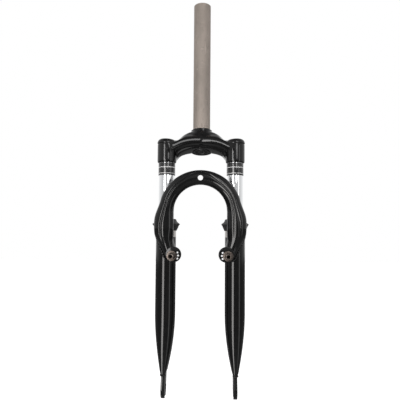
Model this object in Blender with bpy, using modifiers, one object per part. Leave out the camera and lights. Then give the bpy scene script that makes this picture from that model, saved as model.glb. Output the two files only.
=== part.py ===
"""Suspension fork with a pressed horseshoe brake arch, as separate pieces.

Metres, +Z up. The origin is on the steering axis, level with the top of the crown's
race seat. The front is -Y, so a distance "forward" is measured along -Y. Left and
right are as seen from the front: left is -X.

The steerer, crown, stanchions, slider bushings and springs stay with the frame. The
lower tubes, arch, bosses, dropouts, seals, guide bushings and compression rods slide
up along the stanchions by TRAVEL.
"""

import math

import bmesh
import bpy

GAP = 0.0003
LEG_STEPS = 28
CROWN_STEPS = 32
SMALL_STEPS = 20
SIDES = ((-1, "left"), (1, "right"))

# Steering axis.
STEERER_RADIUS = 0.0143
STEERER_BORE = 0.0127
STEERER_TOP = 0.2145
STEERER_END = -0.0448
STEERER_EDGE = 0.0005
RACE_SEAT_RADIUS = 0.0154
RACE_LEDGE_RADIUS = 0.0177
RACE_LEDGE_Z = -0.0018
BOTTOM_RING_RADIUS = 0.0186
BOTTOM_RING_Z = -0.0462
PLUG_TOP = -0.036
PLUG_HOLE_RADIUS = 0.003

# Legs.
LEG_X = 0.055
LEG_FORWARD = 0.028
TRAVEL = 0.050
SLEEVE_RADIUS = 0.0155
SLEEVE_TOP = -0.0275
SLEEVE_BLANK = 0.002
SLEEVE_BOTTOM = -0.0612
CAP_TOP = -0.0216
CAP_EDGE = 0.0057
BAND_THICKNESS = 0.0005
BAND_HEIGHT = 0.0198
STANCHION_RADIUS = 0.0127
STANCHION_BORE = 0.0111
STANCHION_TOP = -0.030
STANCHION_END = -0.245
CLIP_THICKNESS = 0.001
SLIDER_CLIP_TOP = STANCHION_END + 0.0024
SLIDER_CLIP_DEPTH = 0.0009

# Lower tubes.
TUBE_RADIUS = 0.016
TUBE_BORE = 0.0145
TUBE_TOP = -0.161
TUBE_FLOOR = -0.316
TAPER_TOP = -0.298
TUBE_END = -0.389
TUBE_END_HALF_WIDTH = 0.0043
TUBE_END_HALF_DEPTH = 0.0202
TUBE_END_FORWARD = 0.035
GUIDE_CLIP_TOP = TUBE_TOP - 0.0014
GUIDE_CLIP_DEPTH = 0.0006
SEAL_TOP = -0.1512
SEAL_LIP_RADIUS = 0.022

# Springs and stops.
CAP_SPIGOT_END = -0.040
SPRING_TOP = -0.066
ROD_HEAD_TOP = -0.222
ROD_HEAD_RADIUS = 0.0106
ROD_RADIUS = 0.0075
ROD_STUD_RADIUS = 0.004
WIRE_RADIUS = 0.0015
SPRING_RADIUS = 0.0086
SPRING_TURNS = 11
POINTS_PER_TURN = 8
BUMPER_TOP = STANCHION_END - TRAVEL - 2 * GAP
BUMPER_BOTTOM = -0.3084
GUIDE_BOTTOM = -0.190
SLIDER_TOP = -0.2240
TOP_OUT_LENGTH = 0.0075

# Dropouts.
AXLE_FORWARD = 0.040
AXLE_Z = -0.410
DROPOUT_THICKNESS = 0.006
DROPOUT_RADIUS = 0.0155
AXLE_SLOT_RADIUS = 0.005
TONGUE_TOP = -0.381

# Brake arch.
ARCH_CENTRE_Z = -0.1395
ARCH_INNER_RADIUS = 0.0415
ARCH_OUTER_RADIUS = 0.0648
ARCH_RIM_FORWARD = 0.0472
ARCH_FRONT_FORWARD = 0.0575
ARCH_PAD_FORWARD = 0.0525
ARCH_WALL = 0.0023
ARCH_CLEARANCE = 0.0005
ARCH_HOLE_Z = -0.0878
ARCH_HOLE_RADIUS = 0.004

# Brake bosses.
BOSS_X = 0.0432
BOSS_Z = -0.208
BOSS_ROOT = 0.0435
BOSS_TIP = 0.075
BOSS_POST_RADIUS = 0.0045
BOSS_SHANK_RADIUS = 0.005
BOSS_FLANGE_RADIUS = 0.0080
BOSS_FLANGE = 0.002
THREAD_RADIUS = 0.0025
THREAD_DEPTH = 0.017
PLATE_X = 0.0405
PLATE_Z = -0.206
PLATE_RADIUS = 0.0120
PLATE_THICKNESS = 0.002
SPRING_HOLE_RADIUS = 0.0014
SPRING_HOLE_CIRCLE = 0.0095
SPRING_HOLE_STEP = math.radians(29)


# Scene and looks

def clear_scene():
    for old in list(bpy.data.objects):
        bpy.data.objects.remove(old, do_unlink=True)


def new_collection(name, hidden=False):
    collection = bpy.data.collections.new(name)
    bpy.context.scene.collection.children.link(collection)
    collection.hide_render = hidden
    return collection


def look(name, colour, roughness, metallic):
    made = bpy.data.materials.new(name)
    made.use_nodes = True
    shader = made.node_tree.nodes["Principled BSDF"]
    shader.inputs["Base Color"].default_value = (*colour, 1.0)
    shader.inputs["Roughness"].default_value = roughness
    shader.inputs["Metallic"].default_value = metallic
    made.diffuse_color = (*colour, 1.0)
    return made


LOOKS = {
    "bare_steel": ((0.30, 0.27, 0.24), 0.45, 1.0),
    "black_gloss": ((0.018, 0.018, 0.019), 0.18, 0.0),
    "chrome": ((0.80, 0.81, 0.82), 0.06, 1.0),
    "black_plastic": ((0.025, 0.025, 0.026), 0.35, 0.0),
    "rubber": ((0.020, 0.020, 0.021), 0.70, 0.0),
    "boss_steel": ((0.26, 0.24, 0.22), 0.40, 1.0),
    "spring_steel": ((0.20, 0.20, 0.21), 0.35, 1.0),
    "white_plastic": ((0.70, 0.70, 0.66), 0.45, 0.0),
}


def finish(obj, surface, parent=None):
    """Links a finished piece with its own material, under the assembly that it moves with."""
    colour, roughness, metallic = LOOKS[surface]
    obj.data.materials.append(look(obj.name, colour, roughness, metallic))
    PARTS.objects.link(obj)
    obj.parent = parent or UPPER


def cutter(obj):
    """Links a helper solid where it isn't rendered."""
    TOOLS.objects.link(obj)
    obj.hide_render = True
    obj.display_type = "WIRE"
    return obj


def boolean(obj, tool, operation):
    step = obj.modifiers.new(f"{operation.lower()}_{tool.name}", "BOOLEAN")
    step.object = tool
    step.operation = operation


# Shapes

def smooth(mesh, angle=math.radians(35)):
    mesh.shade_smooth()
    mesh.set_sharp_from_angle(angle=angle)


def mesh_from(bm, name):
    bmesh.ops.recalc_face_normals(bm, faces=bm.faces)
    mesh = bpy.data.meshes.new(name)
    bm.to_mesh(mesh)
    bm.free()
    smooth(mesh)
    return mesh


def turned(name, profile, x=0.0, y=0.0, steps=SMALL_STEPS):
    """A body turned about a vertical axis at (x, y), from (radius, z) points.

    The profile runs down the outer side and back up the bore. One that starts on the
    axis has no bore, and ends on the axis.
    """
    bm = bmesh.new()
    points = [bm.verts.new((radius, 0.0, z)) for radius, z in profile]
    solid = profile[0][0] == 0.0
    pairs = zip(points, points[1:] if solid else points[1:] + points[:1])
    for start, end in pairs:
        bm.edges.new((start, end))
    mesh = bpy.data.meshes.new(name)
    bm.to_mesh(mesh)
    bm.free()
    obj = bpy.data.objects.new(name, mesh)
    obj.location = (x, y, 0.0)
    screw = obj.modifiers.new("turn", "SCREW")
    screw.steps = screw.render_steps = steps
    screw.use_merge_vertices = True
    screw.merge_threshold = 0.00001
    screw.use_smooth_shade = True
    return obj


def ring_profile(inner, outer, top, bottom):
    return [(outer, top), (outer, bottom), (inner, bottom), (inner, top)]


def arc(centre_a, centre_b, radius, start, end, count):
    """Points on an arc in a plane, with angles in degrees, both ends included."""
    points = []
    for i in range(count):
        angle = math.radians(start + (end - start) * i / (count - 1))
        points.append((centre_a + radius * math.cos(angle), centre_b + radius * math.sin(angle)))
    return points


def loft(name, rings):
    """A closed body through rings with equal point counts, with its two ends capped."""
    bm = bmesh.new()
    rows = [[bm.verts.new(point) for point in ring] for ring in rings]
    for lower, upper in zip(rows, rows[1:]):
        for i, start in enumerate(lower):
            j = (i + 1) % len(lower)
            bm.faces.new((start, lower[j], upper[j], upper[i]))
    bm.faces.new(rows[0])
    bm.faces.new(rows[-1])
    return bpy.data.objects.new(name, mesh_from(bm, name))


def block(name, size):
    bm = bmesh.new()
    bmesh.ops.create_cube(bm, size=1.0)
    bmesh.ops.scale(bm, vec=size, verts=bm.verts)
    return bpy.data.objects.new(name, mesh_from(bm, name))


def cylinder(name, radius, low, high, x=0.0, y=0.0, steps=CROWN_STEPS):
    """A plain vertical cylinder, for cutting bores."""
    bm = bmesh.new()
    bmesh.ops.create_cone(
        bm, cap_ends=True, segments=steps, radius1=radius, radius2=radius, depth=high - low
    )
    obj = bpy.data.objects.new(name, mesh_from(bm, name))
    obj.location = (x, y, (low + high) / 2)
    return obj


def forward_cylinder(name, radius, near, far, x, z, steps=SMALL_STEPS):
    """A cylinder along the forward direction, from near to far forward of the axis."""
    obj = cylinder(name, radius, 0.0, far - near, steps=steps)
    obj.location = (x, -(near + far) / 2, z)
    obj.rotation_euler = (math.radians(90), 0.0, 0.0)
    return obj


def flat_outline(name, loops, thickness):
    """A flat plate from closed outlines in its own XY plane, the first around the others."""
    curve = bpy.data.curves.new(name, "CURVE")
    curve.dimensions = "2D"
    curve.fill_mode = "BOTH"
    curve.extrude = thickness / 2
    for loop in loops:
        spline = curve.splines.new("POLY")
        spline.points.add(len(loop) - 1)
        for point, (a, b) in zip(spline.points, loop):
            point.co = (a, b, 0.0, 1.0)
        spline.use_cyclic_u = True
    return bpy.data.objects.new(name, curve)


def superellipse(half_x, half_y, power, x, y, z, count=LEG_STEPS):
    """A horizontal ring: a circle at power 2, squarer above it."""
    ring = []
    for i in range(count):
        angle = 2 * math.pi * i / count
        cosine, sine = math.cos(angle), math.sin(angle)
        across = math.copysign(abs(cosine) ** (2 / power), cosine)
        along = math.copysign(abs(sine) ** (2 / power), sine)
        ring.append((x + half_x * across, y + half_y * along, z))
    return ring


def blend(start, end, part):
    return start + (end - start) * part


# Steering axis pieces

def steerer_tube():
    top, bottom, edge = STEERER_TOP, STEERER_END, STEERER_EDGE
    corner = arc(STEERER_RADIUS - edge, top - edge, edge, 90, 0, 4)
    profile = corner + [
        (STEERER_RADIUS, bottom + edge),
        (STEERER_RADIUS - edge, bottom),
        (STEERER_BORE, bottom),
        (STEERER_BORE, top - edge / 2),
        (STEERER_BORE + edge / 2, top),
    ]
    finish(turned("steerer_tube", profile, steps=LEG_STEPS), "bare_steel")


def steerer_bottom_plug():
    rim = STEERER_BORE - GAP
    profile = [
        (rim, PLUG_TOP),
        (rim, STEERER_END + 0.0012),
        (rim - 0.0008, STEERER_END + 0.0005),
        (0.0078, STEERER_END + 0.0005),
        (0.0066, STEERER_END + 0.0025),
        (PLUG_HOLE_RADIUS, STEERER_END + 0.0025),
        (PLUG_HOLE_RADIUS, PLUG_TOP),
    ]
    finish(turned("steerer_bottom_plug", profile), "black_plastic")


# Crown: forward and height of the beam's section, at the middle and inside the sleeves,
# from the crest over the front roll, into the cove, along the lower lip and up the back.
CREST_FLAT = 0.014
CREST_FALL = 21.6
BEAM_HALF_LENGTH = 0.048
BEAM_STATIONS = 23
FORWARD_POWER = 1.5
HEIGHT_POWER = 2.4
BEAM_MIDDLE = (
    (0.0040, -0.0042), (0.0150, -0.0095), (0.0225, -0.0158), (0.0252, -0.0184),
    (0.0264, -0.0222), (0.0258, -0.0258), (0.0232, -0.0284), (0.0165, -0.0308),
    (0.0145, -0.0345), (0.0146, -0.0395), (0.0125, -0.0425), (-0.0100, -0.0420),
    (-0.0175, -0.0365), (-0.0205, -0.0260), (-0.0180, -0.0155), (-0.0080, -0.0082),
)
BEAM_END = (
    (0.0280, -0.0292), (0.0350, -0.0300), (0.0385, -0.0312), (0.0405, -0.0330),
    (0.0420, -0.0375), (0.0418, -0.0415), (0.0400, -0.0445), (0.0360, -0.0475),
    (0.0345, -0.0510), (0.0345, -0.0555), (0.0320, -0.0590), (0.0220, -0.0590),
    (0.0165, -0.0530), (0.0150, -0.0440), (0.0165, -0.0345), (0.0220, -0.0305),
)


def beam_section(x):
    part = abs(x) / BEAM_HALF_LENGTH
    ring = []
    for (forward, height), (end_forward, end_height) in zip(BEAM_MIDDLE, BEAM_END):
        y = -blend(forward, end_forward, part**FORWARD_POWER)
        ring.append((x, y, blend(height, end_height, part**HEIGHT_POWER)))
    crest = BEAM_MIDDLE[0][1] - CREST_FALL * max(0.0, abs(x) - CREST_FLAT) ** 2
    ring[0] = (x, ring[0][1], crest)
    return ring


def crown():
    stations = [
        blend(-BEAM_HALF_LENGTH, BEAM_HALF_LENGTH, i / (BEAM_STATIONS - 1))
        for i in range(BEAM_STATIONS)
    ]
    beam = loft("crown", [beam_section(x) for x in stations])
    core_profile = [
        (0.0, 0.0),
        (RACE_SEAT_RADIUS, 0.0),
        (RACE_SEAT_RADIUS, RACE_LEDGE_Z),
        (RACE_LEDGE_RADIUS, RACE_LEDGE_Z),
        (0.0193, -0.0048),
        (0.0221, -0.0110),
        (0.0236, -0.0170),
        (0.0220, -0.0240),
        (BOTTOM_RING_RADIUS, -0.0320),
        (BOTTOM_RING_RADIUS, BOTTOM_RING_Z + 0.0010),
        (BOTTOM_RING_RADIUS - 0.0010, BOTTOM_RING_Z),
        (0.0, BOTTOM_RING_Z),
    ]
    boolean(beam, cutter(turned("crown_core", core_profile, steps=CROWN_STEPS)), "UNION")
    sleeve_profile = [
        (0.0, SLEEVE_TOP + SLEEVE_BLANK),
        (SLEEVE_RADIUS, SLEEVE_TOP + SLEEVE_BLANK),
        (SLEEVE_RADIUS, SLEEVE_BOTTOM + 0.0022),
        (SLEEVE_RADIUS - 0.0010, SLEEVE_BOTTOM),
        (0.0, SLEEVE_BOTTOM),
    ]
    for side, word in SIDES:
        at = (side * LEG_X, -LEG_FORWARD)
        sleeve = turned(f"sleeve_{word}", sleeve_profile, *at, steps=CROWN_STEPS)
        boolean(beam, cutter(sleeve), "UNION")
    bore = cylinder("steerer_bore", STEERER_RADIUS + GAP, BOTTOM_RING_Z - 0.005, 0.005)
    boolean(beam, cutter(bore), "DIFFERENCE")
    for side, word in SIDES:
        at = (side * LEG_X, -LEG_FORWARD)
        radius = STANCHION_RADIUS + GAP
        bore = cylinder(f"leg_bore_{word}", radius, SLEEVE_BOTTOM - 0.005, -0.010, *at)
        boolean(beam, cutter(bore), "DIFFERENCE")
        seat = cylinder(f"cap_seat_{word}", SLEEVE_RADIUS + GAP, SLEEVE_TOP, 0.0, *at)
        boolean(beam, cutter(seat), "DIFFERENCE")
    finish(beam, "black_gloss")


# Pieces fixed to the crown, one of each in either leg

def crown_cap(word, at):
    spigot = STANCHION_RADIUS + GAP - 0.0004
    bore_spigot = STANCHION_BORE - GAP
    dome = arc(SLEEVE_RADIUS - CAP_EDGE, CAP_TOP - CAP_EDGE, CAP_EDGE, 90, 6, 6)
    profile = [(0.0, CAP_TOP)] + dome + [
        (SLEEVE_RADIUS, SLEEVE_TOP + GAP),
        (spigot, SLEEVE_TOP + GAP),
        (spigot, STANCHION_TOP + GAP),
        (bore_spigot, STANCHION_TOP + GAP),
        (bore_spigot, CAP_SPIGOT_END + 0.001),
        (bore_spigot - 0.001, CAP_SPIGOT_END),
        (0.0, CAP_SPIGOT_END),
    ]
    finish(turned(f"crown_cap_{word}", profile, *at, steps=LEG_STEPS), "black_gloss")


def label_band(word, at):
    inner = STANCHION_RADIUS + GAP
    top = SLEEVE_BOTTOM - GAP
    profile = ring_profile(inner, inner + BAND_THICKNESS, top, top - BAND_HEIGHT)
    finish(turned(f"label_band_{word}", profile, *at, steps=LEG_STEPS), "black_plastic")


def stanchion(word, at):
    groove_bottom = SLIDER_CLIP_TOP - CLIP_THICKNESS - 2 * GAP
    profile = [
        (STANCHION_RADIUS - 0.0004, STANCHION_TOP),
        (STANCHION_RADIUS, STANCHION_TOP - 0.0004),
        (STANCHION_RADIUS, SLIDER_CLIP_TOP),
        (STANCHION_RADIUS - SLIDER_CLIP_DEPTH, SLIDER_CLIP_TOP),
        (STANCHION_RADIUS - SLIDER_CLIP_DEPTH, groove_bottom),
        (STANCHION_RADIUS, groove_bottom),
        (STANCHION_RADIUS, STANCHION_END + 0.0004),
        (STANCHION_RADIUS - 0.0004, STANCHION_END),
        (STANCHION_BORE, STANCHION_END),
        (STANCHION_BORE, STANCHION_TOP),
    ]
    finish(turned(f"stanchion_{word}", profile, *at, steps=LEG_STEPS), "chrome")


def snap_ring(name, inner, outer, groove_top, at, parent=None):
    """A flat split ring: an open circle of flat stock with a gap facing the back."""
    opening = 14
    start, end = 90 + opening, 450 - opening
    loop = arc(0.0, 0.0, outer, start, end, 20) + arc(0.0, 0.0, inner, end, start, 20)
    ring = flat_outline(name, [loop], CLIP_THICKNESS)
    ring.location = (*at, groove_top - GAP - CLIP_THICKNESS / 2)
    finish(ring, "spring_steel", parent)


def bushing(name, top, bottom, at, surface, parent=None):
    """A ring that fills the room between a stanchion and its lower tube."""
    inner = STANCHION_RADIUS + GAP
    outer = TUBE_BORE - GAP
    finish(turned(name, ring_profile(inner, outer, top, bottom), *at), surface, parent)


def preload_spacer(word, at):
    outer = STANCHION_BORE - GAP
    profile = ring_profile(0.0060, outer, CAP_SPIGOT_END - GAP, SPRING_TOP + GAP)
    finish(turned(f"preload_spacer_{word}", profile, *at), "white_plastic")


def coil_spring(word, at):
    """A helix whose first and last turns lie close together."""
    top = SPRING_TOP - WIRE_RADIUS
    bottom = ROD_HEAD_TOP + GAP + WIRE_RADIUS
    closed_pitch = 2 * WIRE_RADIUS + GAP
    open_pitch = (top - bottom - 2 * closed_pitch) / (SPRING_TURNS - 2)
    curve = bpy.data.curves.new(f"coil_spring_{word}", "CURVE")
    curve.dimensions = "3D"
    curve.bevel_depth = WIRE_RADIUS
    curve.bevel_resolution = 2
    curve.use_fill_caps = True
    spline = curve.splines.new("POLY")
    count = SPRING_TURNS * POINTS_PER_TURN + 1
    spline.points.add(count - 1)
    z = bottom
    for i, point in enumerate(spline.points):
        angle = 2 * math.pi * i / POINTS_PER_TURN
        x, y = SPRING_RADIUS * math.cos(angle), SPRING_RADIUS * math.sin(angle)
        point.co = (x, y, z, 1.0)
        closed = i < POINTS_PER_TURN or i >= count - 1 - POINTS_PER_TURN
        z += (closed_pitch if closed else open_pitch) / POINTS_PER_TURN
    spring = bpy.data.objects.new(f"coil_spring_{word}", curve)
    spring.location = (*at, 0.0)
    finish(spring, "spring_steel")


# Sliding pieces, one of each on either leg

def tube_section(z):
    """The lower tube's outer ring at a height: round, then flattened towards its end."""
    part = min(1.0, max(0.0, (TAPER_TOP - z) / (TAPER_TOP - TUBE_END)))
    half_x = blend(TUBE_RADIUS, TUBE_END_HALF_WIDTH, part**2)
    half_y = blend(TUBE_RADIUS, TUBE_END_HALF_DEPTH, part**1.5)
    forward = blend(LEG_FORWARD, TUBE_END_FORWARD, part**2)
    return superellipse(half_x, half_y, 2 + 1.2 * part**2, 0.0, LEG_FORWARD - forward, z)


def lower_tube(word, at):
    groove_bottom = GUIDE_CLIP_TOP - CLIP_THICKNESS - 2 * GAP
    groove_radius = TUBE_BORE + GUIDE_CLIP_DEPTH
    bore_steps = [
        (TUBE_BORE, TUBE_FLOOR),
        (TUBE_BORE, groove_bottom),
        (groove_radius, groove_bottom),
        (groove_radius, GUIDE_CLIP_TOP),
        (TUBE_BORE, GUIDE_CLIP_TOP),
        (TUBE_BORE, TUBE_TOP),
    ]
    rings = [superellipse(r, r, 2, 0.0, 0.0, z) for r, z in bore_steps]
    rings.append(tube_section(TUBE_TOP))
    stations = 11
    rings += [
        tube_section(blend(TAPER_TOP, TUBE_END, i / stations)) for i in range(stations + 1)
    ]
    tube = loft(f"lower_tube_{word}", rings)
    tube.location = (*at, 0.0)
    size = (DROPOUT_THICKNESS + 2 * GAP, 0.080, 0.018)
    slot = block(f"tongue_slot_{word}", size)
    slot.location = (*at, TONGUE_TOP + GAP - size[2] / 2)
    boolean(tube, cutter(slot), "DIFFERENCE")
    finish(tube, "black_gloss", LOWERS)


def dropout(word, at):
    """A plate in the YZ plane: a tongue for the tube's slot and a head with the axle slot."""
    reach = math.degrees(math.asin(AXLE_SLOT_RADIUS / DROPOUT_RADIUS))
    head = DROPOUT_RADIUS
    axle = (AXLE_FORWARD, AXLE_Z)
    loop = [(0.0215, TONGUE_TOP), (0.0215, -0.3935), (0.0225, -0.3990)]
    loop += arc(*axle, head, 172, 270 - reach, 9)
    loop += arc(*axle, AXLE_SLOT_RADIUS, 180, 0, 13)
    loop += arc(*axle, head, 270 + reach, 368, 9)
    loop += [(0.0525, -0.3990), (0.0500, -0.3935), (0.0490, TONGUE_TOP)]
    plate = flat_outline(f"dropout_{word}", [loop], DROPOUT_THICKNESS)
    plate.location = (at[0], 0.0, 0.0)
    plate.rotation_euler = (math.radians(90), 0.0, math.radians(-90))
    finish(plate, "black_gloss", LOWERS)


def dust_seal(word, at):
    skirt = TUBE_RADIUS + GAP
    wiper = STANCHION_RADIUS + GAP
    profile = [
        (0.0166, SEAL_TOP),
        (0.0175, SEAL_TOP - 0.0008),
        (0.0175, SEAL_TOP - 0.0034),
        (0.0190, SEAL_TOP - 0.0050),
        (SEAL_LIP_RADIUS - 0.0004, SEAL_TOP - 0.0076),
        (SEAL_LIP_RADIUS, SEAL_TOP - 0.0085),
        (0.0198, SEAL_TOP - 0.0110),
        (0.0196, SEAL_TOP - 0.0144),
        (0.0186, SEAL_TOP - 0.0152),
        (0.0186, SEAL_TOP - 0.0187),
        (skirt, SEAL_TOP - 0.0187),
        (skirt, TUBE_TOP + GAP),
        (wiper, TUBE_TOP + GAP),
        (wiper, SEAL_TOP - 0.0053),
        (0.0142, SEAL_TOP - 0.0026),
        (0.0142, SEAL_TOP),
    ]
    finish(turned(f"dust_seal_{word}", profile, *at, steps=LEG_STEPS), "rubber", LOWERS)


def compression_rod(word, at):
    spigot_radius = SPRING_RADIUS - WIRE_RADIUS - 2 * GAP
    shoulder = BUMPER_BOTTOM
    profile = [
        (0.0, ROD_HEAD_TOP + 0.010),
        (spigot_radius - 0.002, ROD_HEAD_TOP + 0.010),
        (spigot_radius, ROD_HEAD_TOP + 0.008),
        (spigot_radius, ROD_HEAD_TOP),
        (ROD_HEAD_RADIUS, ROD_HEAD_TOP),
        (ROD_HEAD_RADIUS, ROD_HEAD_TOP - 0.004),
        (ROD_RADIUS, ROD_HEAD_TOP - 0.0055),
        (ROD_RADIUS, shoulder),
        (ROD_STUD_RADIUS, shoulder),
        (ROD_STUD_RADIUS, TUBE_FLOOR + 0.001),
        (0.0, TUBE_FLOOR + 0.001),
    ]
    finish(turned(f"compression_rod_{word}", profile, *at), "white_plastic", LOWERS)


def rod_base(word, at):
    inner, outer = ROD_STUD_RADIUS + GAP, TUBE_BORE - GAP
    profile = ring_profile(inner, outer, BUMPER_BOTTOM - GAP, TUBE_FLOOR + GAP)
    finish(turned(f"rod_base_{word}", profile, *at), "black_plastic", LOWERS)


def bottom_out_bumper(word, at):
    inner, outer = ROD_RADIUS + GAP, TUBE_BORE - 2 * GAP
    profile = ring_profile(inner, outer, BUMPER_TOP, BUMPER_BOTTOM)
    finish(turned(f"bottom_out_bumper_{word}", profile, *at), "rubber", LOWERS)


# Brake arch: pairs of (x, z) points on the inner and the outer edge, down the right side
# below the half circle.
ARCH_ROUND_STATIONS = 11
ARCH_ROUND_END = math.radians(78)
ARCH_SIDE = (
    ((0.0415, -0.1395), (0.0684, -0.1395)),
    ((0.0415, -0.1460), (0.0705, -0.1460)),
    ((0.0415, -0.1530), (0.0718, -0.1530)),
    ((0.0415, -0.1610), (0.0721, -0.1610)),
    ((0.0416, -0.1690), (0.0719, -0.1690)),
    ((0.0419, -0.1765), (0.0711, -0.1765)),
    ((0.0418, -0.1840), (0.0684, -0.1835)),
    ((0.0405, -0.1910), (0.0652, -0.1905)),
    ((0.0382, -0.1980), (0.0620, -0.1980)),
    ((0.0362, -0.2045), (0.0590, -0.2045)),
    ((0.0356, -0.2100), (0.0562, -0.2105)),
    ((0.0372, -0.2145), (0.0530, -0.2148)),
    ((0.0412, -0.2172), (0.0482, -0.2175)),
)
ARCH_WRAP_TOP = -0.1705
ARCH_WRAP_FULL = -0.1890
ARCH_WRAP_FORWARD = 0.0385
ARCH_SECTION_STEPS = (-1.0, -0.92, -0.70, -0.36, 0.0, 0.36, 0.70, 0.92, 1.0)


def leg_front(x):
    """How far forward the lower tube's surface is at x, with room for a gap."""
    radius = TUBE_RADIUS + ARCH_CLEARANCE
    across = abs(x) - LEG_X
    return LEG_FORWARD + math.sqrt(max(0.0, radius**2 - across**2))


def arch_section(inner, outer):
    """A pressed channel's section between two edge points: bowed front, open back."""
    middle_z = (inner[1] + outer[1]) / 2
    wrap = min(1.0, max(0.0, (ARCH_WRAP_TOP - middle_z) / (ARCH_WRAP_TOP - ARCH_WRAP_FULL)))
    wrap = wrap * wrap * (3 - 2 * wrap)
    front = blend(ARCH_FRONT_FORWARD, ARCH_PAD_FORWARD, wrap)
    rim = blend(ARCH_RIM_FORWARD, ARCH_WRAP_FORWARD, wrap)
    flatness = blend(2.4, 5.0, wrap)
    width = math.dist(inner, outer)
    shrink = 1 - 2 * ARCH_WALL / width
    ring = []
    for skin, rise in ((1.0, front), (shrink, front - ARCH_WALL)):
        row = []
        for step in ARCH_SECTION_STEPS:
            across = (1 + step * skin) / 2
            x = blend(inner[0], outer[0], across)
            z = blend(inner[1], outer[1], across)
            bow = (1 - abs(step) ** flatness) ** 0.62
            forward = max(blend(rim, rise, bow), leg_front(x) if wrap > 0.0 else 0.0)
            row.append((x, -forward, z))
        ring += row if skin == 1.0 else row[::-1]
    return ring


def arch_outline():
    """Edge pairs from the middle of the arch down its right side."""
    pairs = []
    for i in range(ARCH_ROUND_STATIONS):
        angle = ARCH_ROUND_END * i / (ARCH_ROUND_STATIONS - 1)
        ends = []
        for radius in (ARCH_INNER_RADIUS, ARCH_OUTER_RADIUS):
            ends.append((radius * math.sin(angle), ARCH_CENTRE_Z + radius * math.cos(angle)))
        pairs.append(tuple(ends))
    return pairs + list(ARCH_SIDE)


def brake_arch():
    right = [arch_section(*pair) for pair in arch_outline()]
    left = [[(-x, y, z) for x, y, z in ring] for ring in right[:0:-1]]
    arch = loft("brake_arch", left + right)
    hole = forward_cylinder("arch_hole", ARCH_HOLE_RADIUS, 0.030, 0.070, 0.0, ARCH_HOLE_Z)
    boolean(arch, cutter(hole), "DIFFERENCE")
    for side, word in SIDES:
        radius = BOSS_SHANK_RADIUS + GAP
        hole = forward_cylinder(f"boss_hole_{word}", radius, 0.030, 0.070, side * BOSS_X, BOSS_Z)
        boolean(arch, cutter(hole), "DIFFERENCE")
    finish(arch, "black_gloss", LOWERS)


def brake_boss(word, side):
    """A pivot stud along the forward direction: thread hole, post, flange and shank."""
    flange_back = ARCH_PAD_FORWARD + PLATE_THICKNESS + 2 * GAP
    flange_front = flange_back + BOSS_FLANGE
    profile = [
        (0.0, BOSS_TIP - THREAD_DEPTH),
        (THREAD_RADIUS, BOSS_TIP - THREAD_DEPTH + 0.0015),
        (THREAD_RADIUS, BOSS_TIP - 0.0005),
        (THREAD_RADIUS + 0.0005, BOSS_TIP),
        (BOSS_POST_RADIUS - 0.0006, BOSS_TIP),
        (BOSS_POST_RADIUS, BOSS_TIP - 0.0006),
        (BOSS_POST_RADIUS, flange_front),
        (BOSS_FLANGE_RADIUS - 0.0004, flange_front),
        (BOSS_FLANGE_RADIUS, flange_front - 0.0004),
        (BOSS_FLANGE_RADIUS, flange_back),
        (BOSS_SHANK_RADIUS, flange_back),
        (BOSS_SHANK_RADIUS, BOSS_ROOT),
        (0.0, BOSS_ROOT),
    ]
    boss = turned(f"brake_boss_{word}", profile)
    boss.location = (side * BOSS_X, 0.0, BOSS_Z)
    boss.rotation_euler = (math.radians(90), 0.0, 0.0)
    finish(boss, "boss_steel", LOWERS)


def anchor_plate(word, side):
    """A disc behind the boss flange with a hole for the shank and three spring holes."""
    outline = arc(side * (PLATE_X - BOSS_X), PLATE_Z - BOSS_Z, PLATE_RADIUS, 0, 350, 36)
    loops = [outline, arc(0.0, 0.0, BOSS_SHANK_RADIUS + GAP, 0, 342, 20)]
    inward = math.pi if side > 0 else 0.0
    for step in (-1, 0, 1):
        angle = inward + step * SPRING_HOLE_STEP
        x = SPRING_HOLE_CIRCLE * math.cos(angle)
        z = SPRING_HOLE_CIRCLE * math.sin(angle) + 0.0004
        loops.append(arc(x, z, SPRING_HOLE_RADIUS, 0, 324, 10))
    plate = flat_outline(f"anchor_plate_{word}", loops, PLATE_THICKNESS)
    forward = ARCH_PAD_FORWARD + GAP + PLATE_THICKNESS / 2
    plate.location = (side * BOSS_X, -forward, BOSS_Z)
    plate.rotation_euler = (math.radians(90), 0.0, 0.0)
    finish(plate, "black_gloss", LOWERS)


def upper_leg(word, at):
    crown_cap(word, at)
    label_band(word, at)
    stanchion(word, at)
    preload_spacer(word, at)
    coil_spring(word, at)
    clip_inner = STANCHION_RADIUS - SLIDER_CLIP_DEPTH + GAP
    clip_outer = TUBE_BORE - 2 * GAP
    snap_ring(f"stanchion_clip_{word}", clip_inner, clip_outer, SLIDER_CLIP_TOP, at)
    bushing(f"slider_bushing_{word}", SLIDER_TOP, SLIDER_CLIP_TOP, at, "white_plastic")
    bumper_top = GUIDE_BOTTOM - GAP
    bumper_end = bumper_top - TOP_OUT_LENGTH
    bushing(f"top_out_bumper_{word}", bumper_top, bumper_end, at, "rubber")
    spacer_end = SLIDER_TOP + GAP
    bushing(f"top_out_spacer_{word}", bumper_end - GAP, spacer_end, at, "black_plastic")


def lower_leg(word, at):
    lower_tube(word, at)
    dropout(word, at)
    dust_seal(word, at)
    clip_inner = STANCHION_RADIUS + GAP
    clip_outer = TUBE_BORE + GUIDE_CLIP_DEPTH - GAP
    snap_ring(f"bushing_clip_{word}", clip_inner, clip_outer, GUIDE_CLIP_TOP, at, LOWERS)
    guide_top = GUIDE_CLIP_TOP - CLIP_THICKNESS - 3 * GAP
    bushing(f"guide_bushing_{word}", guide_top, GUIDE_BOTTOM, at, "white_plastic", LOWERS)
    compression_rod(word, at)
    rod_base(word, at)
    bottom_out_bumper(word, at)


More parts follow.
